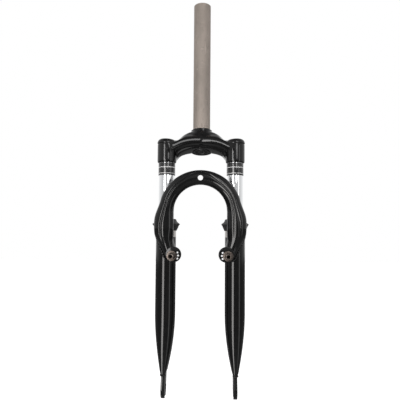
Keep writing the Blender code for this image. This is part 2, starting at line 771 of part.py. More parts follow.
clear_scene()
PARTS = new_collection("suspension_fork")
TOOLS = new_collection("cutters", hidden=True)
UPPER = bpy.data.objects.new("upper_assembly", None)
LOWERS = bpy.data.objects.new("lower_assembly", None)
for empty in (UPPER, LOWERS):
    PARTS.objects.link(empty)

steerer_tube()
steerer_bottom_plug()
crown()
brake_arch()
for side, word in SIDES:
    leg_axis = (side * LEG_X, -LEG_FORWARD)
    upper_leg(word, leg_axis)
    lower_leg(word, leg_axis)
    brake_boss(word, side)
    anchor_plate(word, side)
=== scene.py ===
"""Suspension fork: fine pieces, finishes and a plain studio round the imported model.

Metres, +Z up. The origin is on the steering axis, level with the top of the race seat.
The front is -Y, so "forward" is measured along -Y. Left is -X, as seen from the front.
"""

import math

import bmesh
import bpy
import numpy as np
from mathutils import Matrix, Vector


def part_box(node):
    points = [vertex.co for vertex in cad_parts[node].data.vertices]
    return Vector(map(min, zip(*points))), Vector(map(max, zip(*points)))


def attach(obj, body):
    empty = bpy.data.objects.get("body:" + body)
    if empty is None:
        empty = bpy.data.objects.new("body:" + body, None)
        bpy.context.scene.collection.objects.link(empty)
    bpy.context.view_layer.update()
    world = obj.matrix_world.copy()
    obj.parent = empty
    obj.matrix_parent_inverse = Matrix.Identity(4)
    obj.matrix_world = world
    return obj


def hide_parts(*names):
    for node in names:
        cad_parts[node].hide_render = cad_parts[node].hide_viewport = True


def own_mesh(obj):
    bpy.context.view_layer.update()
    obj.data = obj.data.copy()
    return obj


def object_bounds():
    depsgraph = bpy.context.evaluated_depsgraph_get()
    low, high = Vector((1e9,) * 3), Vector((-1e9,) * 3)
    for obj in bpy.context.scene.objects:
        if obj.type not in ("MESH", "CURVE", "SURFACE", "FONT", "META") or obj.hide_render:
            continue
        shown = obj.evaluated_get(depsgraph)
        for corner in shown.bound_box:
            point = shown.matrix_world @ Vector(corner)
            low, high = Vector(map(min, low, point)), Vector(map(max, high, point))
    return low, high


bl_info = {
    "name": "Suspension fork",
    "version": (1, 0, 0),
    "blender": (4, 5, 0),
    "location": "3D View > Sidebar > Fork",
    "description": "Builds the pieces, finishes and studio of a coil sprung bicycle fork",
    "category": "Object",
}

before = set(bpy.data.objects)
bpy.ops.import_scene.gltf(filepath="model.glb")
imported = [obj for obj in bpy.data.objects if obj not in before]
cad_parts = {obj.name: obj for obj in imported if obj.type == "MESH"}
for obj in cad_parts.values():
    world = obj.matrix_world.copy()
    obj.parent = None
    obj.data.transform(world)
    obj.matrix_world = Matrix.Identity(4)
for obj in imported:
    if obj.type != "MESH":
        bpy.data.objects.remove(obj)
CAD_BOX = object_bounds()
SIDES = ((-1, "left"), (1, "right"))


def corners(node):
    low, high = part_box(node)
    return Vector(low), Vector(high)


STEERER_HIGH = corners("steerer_tube")[1]
STANCHION_LOW, STANCHION_HIGH = corners("stanchion_right")
CAP_LOW, CAP_HIGH = corners("crown_cap_right")
BAND_LOW, BAND_HIGH = corners("label_band_right")
SEAL_LOW, SEAL_HIGH = corners("dust_seal_right")
TUBE_LOW, TUBE_HIGH = corners("lower_tube_right")
DROPOUT_LOW, DROPOUT_HIGH = corners("dropout_right")
BOSS_LOW, BOSS_HIGH = corners("brake_boss_right")
PLATE_LOW, PLATE_HIGH = corners("anchor_plate_right")
SPRING_LOW, SPRING_HIGH = corners("coil_spring_right")
CROWN_LOW, CROWN_HIGH = corners("crown")
FORK_LOW = Vector(CAD_BOX[0])

STEERER_RADIUS = STEERER_HIGH.x
LEG_X = (STANCHION_LOW.x + STANCHION_HIGH.x) / 2
LEG_FORWARD = -(STANCHION_LOW.y + STANCHION_HIGH.y) / 2
STANCHION_RADIUS = (STANCHION_HIGH.x - STANCHION_LOW.x) / 2
TUBE_RADIUS = (TUBE_HIGH.x - TUBE_LOW.x) / 2
SLEEVE_RADIUS = (CAP_HIGH.x - CAP_LOW.x) / 2


class ForkSizes(bpy.types.PropertyGroup):
    wall: bpy.props.FloatProperty(
        name="Steerer wall", description="Thickness of the steerer's wall",
        default=0.0016, unit="LENGTH",
    )
    voxel: bpy.props.FloatProperty(
        name="Crown grain", description="Size of the cells that the crown is fused from",
        default=0.0008, unit="LENGTH",
    )
    fillet_passes: bpy.props.IntProperty(
        name="Crown fillets", description="Smoothing passes that round the crown's joins",
        default=45,
    )
    groove: bpy.props.FloatProperty(
        name="Arch crease", description="Depth of the crease pressed round the arch",
        default=0.0011, unit="LENGTH",
    )
    bead: bpy.props.FloatProperty(
        name="Weld bead", description="Width of the weld beads", default=0.0028,
        unit="LENGTH",
    )
    ripple: bpy.props.FloatProperty(
        name="Weld ripple", description="Length of one ripple along a weld bead",
        default=0.0013, unit="LENGTH",
    )
    spring_turns: bpy.props.FloatProperty(
        name="Spring turns", description="Turns of each main spring", default=13.0,
    )
    wire: bpy.props.FloatProperty(
        name="Spring wire", description="Diameter of the spring's wire", default=0.003,
        unit="LENGTH",
    )


class ForkFinishes(bpy.types.PropertyGroup):
    paint: bpy.props.FloatVectorProperty(
        name="Paint", description="Gloss black paint", subtype="COLOR",
        default=(0.0028, 0.0028, 0.0030),
    )
    steel: bpy.props.FloatVectorProperty(
        name="Steerer steel", description="Bare drawn steel of the steerer", subtype="COLOR",
        default=(0.29, 0.25, 0.22),
    )
    chrome: bpy.props.FloatVectorProperty(
        name="Chrome", description="Hard chrome of the stanchions", subtype="COLOR",
        default=(0.86, 0.87, 0.88),
    )
    boss: bpy.props.FloatVectorProperty(
        name="Stud steel", description="Bare turned steel of the brake studs",
        subtype="COLOR", default=(0.125, 0.105, 0.092),
    )
    rubber: bpy.props.FloatVectorProperty(
        name="Rubber", description="Rubber of the seals and bumpers", subtype="COLOR",
        default=(0.010, 0.010, 0.0105),
    )
    line: bpy.props.FloatVectorProperty(
        name="Band line", description="Light lines round the bands", subtype="COLOR",
        default=(0.62, 0.62, 0.62),
    )


class ForkStudio(bpy.types.PropertyGroup):
    floor_drop: bpy.props.FloatProperty(
        name="Floor drop", description="Gap between the fork's tips and the floor",
        default=0.30, unit="LENGTH",
    )
    key: bpy.props.FloatProperty(
        name="Key light", description="Power of the low soft light on the left",
        default=8.4, unit="POWER",
    )
    high: bpy.props.FloatProperty(
        name="High key light", description="Power of the high soft light on the right",
        default=3.6, unit="POWER",
    )
    crown: bpy.props.FloatProperty(
        name="Crown light", description="Power of the small light on the left, near the crown",
        default=1.5, unit="POWER",
    )
    fill: bpy.props.FloatProperty(
        name="Fill light", description="Power of the soft light on the right",
        default=1.2, unit="POWER",
    )
    top: bpy.props.FloatProperty(
        name="Top light", description="Power of the large soft light overhead",
        default=8.0, unit="POWER",
    )
    room: bpy.props.FloatProperty(
        name="Room", description="Brightness of the white room", default=0.86,
    )


# Helpers for objects and meshes

def link(name, data):
    obj = bpy.data.objects.new(name, data)
    bpy.context.scene.collection.objects.link(obj)
    return obj


def settle(obj, sharp=35):
    """Applies the modifiers, welds the seams, turns faces outwards and shades smooth."""
    graph = bpy.context.evaluated_depsgraph_get()
    mesh = bpy.data.meshes.new_from_object(obj.evaluated_get(graph), depsgraph=graph)
    obj.modifiers.clear()
    bm = bmesh.new()
    bm.from_mesh(mesh)
    bmesh.ops.remove_doubles(bm, verts=bm.verts, dist=1e-6)
    bmesh.ops.recalc_face_normals(bm, faces=bm.faces)
    bm.to_mesh(mesh)
    bm.free()
    mesh.shade_smooth()
    mesh.set_sharp_from_angle(angle=math.radians(sharp))
    if obj.type == "MESH":
        obj.data = mesh
        return obj
    name = obj.name
    bpy.data.objects.remove(obj)
    return link(name, mesh)


def move(obj, matrix):
    """Places a piece in its mesh, so that its object stays at the origin."""
    obj.data.transform(matrix)
    return obj


def join(name, pieces):
    """One mesh object from several, which are then removed."""
    bm = bmesh.new()
    for piece in pieces:
        bm.from_mesh(piece.data)
        bpy.data.objects.remove(piece)
    mesh = bpy.data.meshes.new(name)
    bm.to_mesh(mesh)
    bm.free()
    return link(name, mesh)


def rounded(profile, radius, steps=3, closed=True):
    """The profile with its corners turned into small arcs."""
    points = [Vector(point) for point in profile]
    out = []
    for i, corner in enumerate(points):
        if not closed and i in (0, len(points) - 1):
            out.append(tuple(corner))
            continue
        before = points[i - 1] - corner
        after = points[(i + 1) % len(points)] - corner
        reach = min(radius, before.length * 0.45, after.length * 0.45)
        start = corner + before.normalized() * reach
        end = corner + after.normalized() * reach
        for k in range(steps + 1):
            t = k / steps
            point = start * (1 - t) ** 2 + corner * (2 * t * (1 - t)) + end * t**2
            out.append(tuple(point))
    return out


def turned(name, profile, centre=(0.0, 0.0), steps=96):
    """A body turned about a vertical axis from (radius, z) points, down its outer side.

    A profile that starts on the axis also ends there.
    """
    edges = [(i, i + 1) for i in range(len(profile) - 1)]
    if profile[0][0] > 0.0:
        edges.append((len(profile) - 1, 0))
    mesh = bpy.data.meshes.new(name)
    mesh.from_pydata([(radius, 0.0, z) for radius, z in profile], edges, [])
    obj = link(name, mesh)
    screw = obj.modifiers.new("Turn", "SCREW")
    screw.steps = screw.render_steps = steps
    screw.use_merge_vertices = True
    screw.merge_threshold = 1e-6
    settle(obj)
    return move(obj, Matrix.Translation((*centre, 0.0)))


def loft(name, rings):
    """A closed body through rings with equal point counts, capped at both ends."""
    count = len(rings[0])
    points = [point for ring in rings for point in ring]
    faces = [tuple(range(count))]
    for row in range(len(rings) - 1):
        for i in range(count):
            j = (i + 1) % count
            a, b = row * count, (row + 1) * count
            faces.append((a + i, a + j, b + j, b + i))
    faces.append(tuple((len(rings) - 1) * count + i for i in range(count)))
    mesh = bpy.data.meshes.new(name)
    mesh.from_pydata(points, [], faces)
    return settle(link(name, mesh))


def between(a, b, c, d, t):
    """The point at t on the smooth span from b to c, with a before it and d after it."""
    return 0.5 * (2 * b + (c - a) * t + (2 * a - 5 * b + 4 * c - d) * t**2
                  + (3 * b - a - 3 * c + d) * t**3)


def open_through(rows, per_span):
    """Rows on a smooth open line from the second given row to the one before the last."""
    out = []
    for i in range(1, len(rows) - 2):
        for t in np.arange(per_span) / per_span:
            out.append(between(*rows[i - 1:i + 3], t))
    out.append(rows[-2])
    return out


def smooth_through(points, per_span):
    """Points on a smooth closed curve through the given ones."""
    rows = np.array(points)
    out = []
    for i in range(len(rows)):
        a, b, c, d = (rows[(i + k) % len(rows)] for k in (-1, 0, 1, 2))
        for t in np.arange(per_span) / per_span:
            out.append(between(a, b, c, d, t))
    return [tuple(point) for point in out]


def plate(name, loops, thickness, edge):
    """A flat plate with rounded edges, from closed outlines in its own XY plane."""
    curve = bpy.data.curves.new(name, "CURVE")
    curve.dimensions = "2D"
    curve.fill_mode = "BOTH"
    curve.extrude = thickness / 2 - edge
    curve.bevel_depth = edge
    curve.bevel_resolution = 2
    curve.offset = -edge
    for loop in loops:
        spline = curve.splines.new("POLY")
        spline.points.add(len(loop) - 1)
        for point, (a, b) in zip(spline.points, loop):
            point.co = (a, b, 0.0, 1.0)
        spline.use_cyclic_u = True
    return settle(link(name, curve))


def arc(a, b, radius, start, end, count):
    """Points on an arc in a plane, with angles in degrees, both ends included."""
    angles = [math.radians(start + (end - start) * i / (count - 1)) for i in range(count)]
    return [(a + radius * math.cos(t), b + radius * math.sin(t)) for t in angles]


def mix(start, end, part):
    return start + (end - start) * part


def ramp(low, high, value):
    """0 at low and before it, 1 at high and past it, and a smooth step between them."""
    part = min(1.0, max(0.0, (value - low) / (high - low)))
    return part * part * (3 - 2 * part)


def give(obj, material, body, slot, *nodes):
    """Gives a piece its material and body, and hides any CAD nodes it stands for; the slot is not
    used.
    """
    obj.data.materials.clear()
    obj.data.materials.append(material)
    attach(obj, body)
    if nodes:
        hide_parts(*nodes)
    return obj


# Helpers for node trees

def add(tree, kind, inputs=None, **settings):
    """A node with its settings and inputs: values are set, sockets are linked."""
    made = tree.nodes.new(kind)
    for key, value in settings.items():
        setattr(made, key, value)
    for key, value in (inputs or {}).items():
        if isinstance(value, Term):
            value = value.socket
        if isinstance(value, bpy.types.NodeSocket):
            tree.links.new(value, made.inputs[key])
        else:
            made.inputs[key].default_value = value
    return made


class Term:
    """A number inside a node tree, combined with ordinary arithmetic."""

    def __init__(self, tree, socket):
        self.tree = tree
        self.socket = socket

    def math(self, operation, *others):
        inputs = {0: self.socket}
        inputs.update({i + 1: other for i, other in enumerate(others)})
        made = add(self.tree, "ShaderNodeMath", inputs, operation=operation)
        return Term(self.tree, made.outputs[0])

    def __add__(self, other):
        return self.math("ADD", other)

    def __sub__(self, other):
        return self.math("SUBTRACT", other)

    def __rsub__(self, other):
        return self.math("MULTIPLY", -1.0).math("ADD", other)

    def __mul__(self, other):
        return self.math("MULTIPLY", other)

    def __truediv__(self, other):
        return self.math("DIVIDE", other)

    def __pow__(self, other):
        return self.math("POWER", other)

    def clamp(self):
        return self.math("MINIMUM", 1.0).math("MAXIMUM", 0.0)


def shape_tree(name, inputs):
    """A geometry tree with named inputs. Returns it with its input and output nodes."""
    tree = bpy.data.node_groups.new(name, "GeometryNodeTree")
    tree.interface.new_socket("Geometry", in_out="OUTPUT", socket_type="NodeSocketGeometry")
    for label, (kind, default) in inputs.items():
        socket = tree.interface.new_socket(
            label, in_out="INPUT", socket_type=f"NodeSocket{kind}"
        )
        if default is not None:
            socket.default_value = default
    return tree, tree.nodes.new("NodeGroupInput"), tree.nodes.new("NodeGroupOutput")


def finish_tree(tree, given, out, geometry):
    """Ends a geometry tree in Realize Instances and Set Material."""
    real = add(tree, "GeometryNodeRealizeInstances", {"Geometry": geometry})
    smooth = add(tree, "GeometryNodeSetShadeSmooth", {"Geometry": real.outputs[0]})
    painted = add(
        tree, "GeometryNodeSetMaterial",
        {"Geometry": smooth.outputs[0], "Material": given.outputs["Material"]},
    )
    tree.links.new(painted.outputs[0], out.inputs[0])


def grown(name, tree, values, data=None, sharp=35):
    """A plain mesh object from a geometry tree with these input values."""
    obj = link(name, data or bpy.data.meshes.new(name))
    step = obj.modifiers.new(tree.name, "NODES")
    step.node_group = tree
    for item in tree.interface.items_tree:
        if item.in_out == "INPUT" and item.name in values:
            step[item.identifier] = values[item.name]
    return settle(obj, sharp)


# Shader groups

def shader_group(name, inputs, outputs):
    tree = bpy.data.node_groups.new(name, "ShaderNodeTree")
    for label, default in inputs.items():
        socket = tree.interface.new_socket(
            label, in_out="INPUT", socket_type="NodeSocketFloat"
        )
        socket.default_value = default
    for label in outputs:
        tree.interface.new_socket(label, in_out="OUTPUT", socket_type="NodeSocketFloat")
    return tree, tree.nodes.new("NodeGroupInput"), tree.nodes.new("NodeGroupOutput")


def noise_term(tree, vector, scale, detail=3.0, roughness=0.5):
    inputs = {"Vector": vector, "Scale": scale, "Detail": detail, "Roughness": roughness}
    made = add(tree, "ShaderNodeTexNoise", inputs)
    return Term(tree, made.outputs["Fac"])


def object_coordinates(tree, stretch=(1.0, 1.0, 1.0)):
    source = add(tree, "ShaderNodeTexCoord")
    inputs = {"Vector": source.outputs["Object"], "Scale": stretch}
    return add(tree, "ShaderNodeMapping", inputs).outputs["Vector"]


def group_grain():
    """Fine even roughness of a surface, as a height and a mask."""
    tree, given, out = shader_group(
        "Grain", {"Scale": 900.0, "Breakup": 60.0}, ("Height", "Mask")
    )
    where = object_coordinates(tree)
    fine = noise_term(tree, where, given.outputs["Scale"], detail=2.0)
    broad = noise_term(tree, where, given.outputs["Breakup"], detail=4.0)
    tree.links.new(fine.socket, out.inputs["Height"])
    tree.links.new((fine * 0.4 + broad * 0.6).socket, out.inputs["Mask"])
    return tree


def group_mottle():
    """Cloudy patches drawn out along the piece, with small dark and light spots."""
    tree, given, out = shader_group(
        "Mottle", {"Scale": 40.0, "Spots": 260.0, "Contrast": 3.0}, ("Cloud", "Spot")
    )
    where = object_coordinates(tree, (1.0, 1.0, 0.45))
    cloud = noise_term(tree, where, given.outputs["Scale"], detail=6.0, roughness=0.62)
    spread = ((cloud - 0.5) * given.outputs["Contrast"] + 0.5).clamp()
    spots = noise_term(tree, where, given.outputs["Spots"], detail=3.0)
    tree.links.new(spread.socket, out.inputs["Cloud"])
    tree.links.new(((spots - 0.6) * 6.0).clamp().socket, out.inputs["Spot"])
    return tree


def group_scratches():
    """Sparse fine hairlines along and across a piece."""
    tree, given, out = shader_group(
        "Scratches", {"Scale": 240.0, "Amount": 0.5}, ("Mask", "Height")
    )
    long_way = object_coordinates(tree, (1.0, 1.0, 0.04))
    cross = object_coordinates(tree, (0.07, 1.0, 1.0))
    lines = []
    for where in (long_way, cross):
        line = noise_term(tree, where, given.outputs["Scale"], detail=1.0)
        lines.append(((line - 0.66) * 14.0).clamp())
    patches = noise_term(tree, object_coordinates(tree), 35.0, detail=2.0)
    shown = ((patches - 0.42) * 5.0).clamp() * given.outputs["Amount"]
    mask = lines[0].math("MAXIMUM", lines[1]) * shown
    tree.links.new(mask.socket, out.inputs["Mask"])
    tree.links.new((mask * -1.0).socket, out.inputs["Height"])
    return tree


def group_worn_edges_and_hollow_shade():
    """Worn edges, broken up by noise, and painted shade in the hollows."""
    tree, given, out = shader_group(
        "Edge wear", {"Threshold": 0.53, "Breakup": 170.0}, ("Edge", "Hollow")
    )
    point = Term(tree, add(tree, "ShaderNodeNewGeometry").outputs["Pointiness"])
    broken = noise_term(tree, object_coordinates(tree), given.outputs["Breakup"])
    raised = (point - given.outputs["Threshold"]) * 22.0
    edge = (raised + (broken - 0.5) * 1.6).clamp()
    # painted shade: concave places, found by pointiness, darken as if shaded
    hollow = ((0.485 - point) * 16.0).clamp()
    tree.links.new(edge.socket, out.inputs["Edge"])
    tree.links.new(hollow.socket, out.inputs["Hollow"])
    return tree


def group_dust():
    """Dust that settles on faces that look up."""
    tree, given, out = shader_group("Dust", {"Scale": 90.0, "Amount": 0.3}, ("Mask",))
    normal = add(tree, "ShaderNodeNewGeometry").outputs["Normal"]
    up = Term(tree, add(tree, "ShaderNodeSeparateXYZ", {"Vector": normal}).outputs["Z"])
    cloud = noise_term(tree, object_coordinates(tree), given.outputs["Scale"], detail=7.0)
    mask = (up * 0.6 + 0.4).clamp() * ((cloud - 0.35) * 2.2).clamp() * given.outputs["Amount"]
    tree.links.new(mask.socket, out.inputs["Mask"])
    return tree


def group_turning_marks():
    """Fine rings round the forward direction, left by a lathe."""
    tree, given, out = shader_group("Turning marks", {"Scale": 2600.0}, ("Height",))
    where = add(tree, "ShaderNodeTexCoord").outputs["Object"]
    place = add(tree, "ShaderNodeSeparateXYZ", {"Vector": where})
    along = Term(tree, place.outputs["Y"]) * given.outputs["Scale"]
    wobble = noise_term(tree, where, 120.0) * 4.0
    tree.links.new((along + wobble).math("SINE").socket, out.inputs["Height"])
    return tree


GROUP_MAKERS = {
    "Grain": group_grain,
    "Mottle": group_mottle,
    "Scratches": group_scratches,
    "Edge wear": group_worn_edges_and_hollow_shade,
    "Dust": group_dust,
    "Turning marks": group_turning_marks,
}


def effect(tree, name, **values):
    """Places a shared effect in a material. Returns its outputs as terms by name."""
    group = bpy.data.node_groups.get(name) or GROUP_MAKERS[name]()
    made = tree.nodes.new("ShaderNodeGroup")
    made.node_tree = group
    for label, value in values.items():
        made.inputs[label].default_value = value
    return {socket.name: Term(tree, socket) for socket in made.outputs}


def new_material(name):
    material = bpy.data.materials.new(name)
    material.use_nodes = True
    return material, material.node_tree, material.node_tree.nodes["Principled BSDF"]


def feed(tree, shader, label, source):
    """Links a term or a socket to an input of the shader."""
    tree.links.new(getattr(source, "socket", source), shader.inputs[label])


def blend_colours(tree, factor, first, second):
    """A colour between two colours or colour sockets."""
    made = add(tree, "ShaderNodeMix", data_type="RGBA")
    tree.links.new(factor.socket, made.inputs[0])
    for index, value in ((6, first), (7, second)):
        if isinstance(value, bpy.types.NodeSocket):
            tree.links.new(value, made.inputs[index])
        else:
            made.inputs[index].default_value = (*value, 1.0)
    return made.outputs[2]


def bump(tree, shader, height, distance):
    made = add(tree, "ShaderNodeBump", {"Height": height, "Distance": distance, "Strength": 1.0})
    tree.links.new(made.outputs["Normal"], shader.inputs["Normal"])


def shade(colour, factor):
    return tuple(channel * factor for channel in colour)


# Materials

def finishes():
    return bpy.context.scene.fork_finishes


def paint_material(name="gloss black paint", roughness=0.11, peel=1.0):
    material, tree, shader = new_material(name)
    paint = tuple(finishes().paint)
    peel_noise = effect(tree, "Grain", Scale=420.0, Breakup=55.0)
    wear_and_shade = effect(tree, "Edge wear", Threshold=0.56, Breakup=190.0)
    dust = effect(tree, "Dust", Scale=110.0, Amount=0.10)
    lines = effect(tree, "Scratches", Scale=210.0, Amount=0.15)
    base = blend_colours(tree, wear_and_shade["Edge"] * 0.30, paint, (0.030, 0.029, 0.028))
    base = blend_colours(tree, dust["Mask"], base, (0.07, 0.067, 0.063))
    base = blend_colours(tree, lines["Mask"] * 0.25, base, (0.06, 0.06, 0.06))
    feed(tree, shader, "Base Color", base)
    rough = peel_noise["Mask"] * 0.08 + (roughness - 0.05) + dust["Mask"] * 0.4
    feed(tree, shader, "Roughness", rough + lines["Mask"] * 0.1)
    shader.inputs["IOR"].default_value = 1.43
    wave = peel_noise["Mask"] * 0.7 + peel_noise["Height"] * 0.3 + lines["Height"] * 0.1
    bump(tree, shader, wave, 0.000010 * peel)
    return material


BARE_RING = 0.0095


def tube_material():
    """The paint, with a bare ring just under the dust seal where it was masked."""
    material = paint_material("masked black paint")
    tree = material.node_tree
    shader = tree.nodes["Principled BSDF"]
    where = add(tree, "ShaderNodeTexCoord").outputs["Object"]
    height = Term(tree, add(tree, "ShaderNodeSeparateXYZ", {"Vector": where}).outputs["Z"])
    ragged = noise_term(tree, where, 260.0, detail=3.0) * 0.0016
    bare = ((height + ragged - (SEAL_LOW.z - BARE_RING)) / 0.0004).clamp()
    for label, value in (("Base Color", (0.50, 0.48, 0.46)), ("Roughness", (0.30, 0.30, 0.30))):
        painted = shader.inputs[label].links[0].from_socket
        tree.links.new(blend_colours(tree, bare, painted, value), shader.inputs[label])
    feed(tree, shader, "Metallic", bare)
    return material


def steel_material():
    material, tree, shader = new_material("bare drawn steel")
    steel = tuple(finishes().steel)
    patches = effect(tree, "Mottle", Scale=34.0, Spots=230.0, Contrast=2.6)
    grain = effect(tree, "Grain", Scale=1300.0, Breakup=140.0)
    lines = effect(tree, "Scratches", Scale=300.0, Amount=0.9)
    wear_and_shade = effect(tree, "Edge wear", Threshold=0.55, Breakup=200.0)
    base = blend_colours(tree, patches["Cloud"], shade(steel, 0.72), shade(steel, 1.22))
    base = blend_colours(tree, patches["Spot"] * 0.5, base, shade(steel, 0.45))
    base = blend_colours(tree, grain["Mask"] * 0.25, base, shade(steel, 1.4))
    base = blend_colours(tree, lines["Mask"] * 0.45, base, shade(steel, 1.7))
    base = blend_colours(tree, wear_and_shade["Edge"] * 0.6, base, shade(steel, 1.6))
    feed(tree, shader, "Base Color", base)
    shader.inputs["Metallic"].default_value = 0.55
    rough = patches["Cloud"] * 0.14 + 0.46 + grain["Mask"] * 0.12
    feed(tree, shader, "Roughness", rough - lines["Mask"] * 0.1)
    height = grain["Height"] * 0.4 + patches["Cloud"] * 0.5 + lines["Height"] * 0.3
    bump(tree, shader, height, 0.00012)
    return material


def chrome_material():
    material, tree, shader = new_material("polished chrome")
    chrome = tuple(finishes().chrome)
    film = effect(tree, "Grain", Scale=1500.0, Breakup=45.0)
    lines = effect(tree, "Scratches", Scale=420.0, Amount=0.35)
    base = blend_colours(tree, film["Mask"] * 0.12, chrome, shade(chrome, 0.8))
    feed(tree, shader, "Base Color", base)
    shader.inputs["Metallic"].default_value = 1.0
    feed(tree, shader, "Roughness", film["Mask"] * 0.05 + 0.03 + lines["Mask"] * 0.12)
    bump(tree, shader, film["Mask"] + lines["Height"] * 0.2, 0.000004)
    return material


def rubber_material():
    material, tree, shader = new_material("moulded rubber")
    rubber = tuple(finishes().rubber)
    grain = effect(tree, "Grain", Scale=1400.0, Breakup=120.0)
    dust = effect(tree, "Dust", Scale=130.0, Amount=0.35)
    wear_and_shade = effect(tree, "Edge wear", Threshold=0.54, Breakup=150.0)
    base = blend_colours(tree, wear_and_shade["Edge"] * 0.5, rubber, (0.035, 0.035, 0.035))
    base = blend_colours(tree, dust["Mask"], base, (0.09, 0.088, 0.085))
    feed(tree, shader, "Base Color", base)
    feed(tree, shader, "Roughness", grain["Mask"] * 0.2 + 0.42 + dust["Mask"] * 0.3)
    bump(tree, shader, grain["Height"], 0.00012)
    return material


def boss_material():
    material, tree, shader = new_material("turned stud steel")
    steel = tuple(finishes().boss)
    patches = effect(tree, "Mottle", Scale=120.0, Spots=500.0, Contrast=3.0)
    rings = effect(tree, "Turning marks", Scale=5200.0)
    wear_and_shade = effect(tree, "Edge wear", Threshold=0.54, Breakup=260.0)
    base = blend_colours(tree, patches["Cloud"], shade(steel, 0.55), shade(steel, 1.25))
    base = blend_colours(tree, patches["Spot"] * 0.7, base, (0.09, 0.045, 0.025))
    base = blend_colours(tree, wear_and_shade["Edge"], base, shade(steel, 2.0))
    # painted shade: the stud's hollows are darkened to near black
    base = blend_colours(tree, wear_and_shade["Hollow"] * 0.8, base, (0.02, 0.016, 0.013))
    feed(tree, shader, "Base Color", base)
    shader.inputs["Metallic"].default_value = 0.9
    feed(tree, shader, "Roughness", patches["Cloud"] * 0.2 + 0.30)
    bump(tree, shader, rings["Height"] * 0.3 + patches["Cloud"], 0.00006)
    return material


def plain_material(name, colour, roughness, metallic=0.0, grain_scale=900.0):
    """A moulded or drawn material with grain, mottling, worn edges and painted shade in the hollows.
    """
    material, tree, shader = new_material(name)
    grain = effect(tree, "Grain", Scale=grain_scale, Breakup=90.0)
    patches = effect(tree, "Mottle", Scale=60.0, Spots=320.0, Contrast=2.0)
    wear_and_shade = effect(tree, "Edge wear", Threshold=0.54, Breakup=180.0)
    base = blend_colours(tree, patches["Cloud"], shade(colour, 0.85), shade(colour, 1.12))
    base = blend_colours(tree, wear_and_shade["Edge"] * 0.5, base, shade(colour, 1.5))
    # painted shade: the hollows are darkened to half the colour
    base = blend_colours(tree, wear_and_shade["Hollow"] * 0.5, base, shade(colour, 0.5))
    feed(tree, shader, "Base Color", base)
    shader.inputs["Metallic"].default_value = metallic
    feed(tree, shader, "Roughness", grain["Mask"] * 0.15 + roughness)
    bump(tree, shader, grain["Height"], 0.00006)
    return material


def band_material():
    """Black film with two light lines and a fine raised weave between them."""
    material, tree, shader = new_material("printed band")
    where = add(tree, "ShaderNodeTexCoord").outputs["Object"]
    height = Term(tree, add(tree, "ShaderNodeSeparateXYZ", {"Vector": where}).outputs["Z"])
    drop = (height * -1.0) + BAND_HIGH.z
    lines = None
    for depth, half in ((0.0072, 0.00065), (0.0168, 0.0005)):
        line = (1.0 - (drop - depth).math("ABSOLUTE") / half).clamp() * 3.0
        line = line.clamp()
        lines = line if lines is None else lines.math("MAXIMUM", line)
    print_wear = noise_term(tree, where, 420.0, detail=4.0)
    lines = lines * ((print_wear - 0.22) * 7.0).clamp()
    grain = effect(tree, "Grain", Scale=1000.0, Breakup=80.0)
    lines_scratch = effect(tree, "Scratches", Scale=300.0, Amount=0.5)
    film = blend_colours(
        tree, lines_scratch["Mask"] * 0.4, (0.008, 0.008, 0.0085), (0.08, 0.08, 0.08)
    )
    tree.links.new(
        blend_colours(tree, lines, film, tuple(finishes().line)), shader.inputs["Base Color"]
    )
    feed(tree, shader, "Roughness", grain["Mask"] * 0.12 + 0.16)
    shader.inputs["Coat Weight"].default_value = 0.4
    bump(tree, shader, lines + grain["Height"] * 0.2, 0.00004)
    return material


MATERIAL_MAKERS = {
    "paint": paint_material,
    "tube": tube_material,
    "steel": steel_material,
    "chrome": chrome_material,
    "rubber": rubber_material,
    "boss": boss_material,
    "band": band_material,
    "weld": lambda: paint_material("painted weld", roughness=0.20, peel=2.0),
    "cap": lambda: paint_material("black moulded cap", roughness=0.22, peel=0.7),
    "plastic": lambda: plain_material("black plastic", (0.012, 0.012, 0.0125), 0.35),
    "nylon": lambda: plain_material("natural nylon", (0.62, 0.60, 0.53), 0.38),
    "spring": lambda: plain_material("oiled spring steel", (0.17, 0.17, 0.18), 0.28, 1.0),
}
MADE = {}


def material_for(key):
    if key not in MADE:
        MADE[key] = MATERIAL_MAKERS[key]()
    return MADE[key]


# Geometry trees

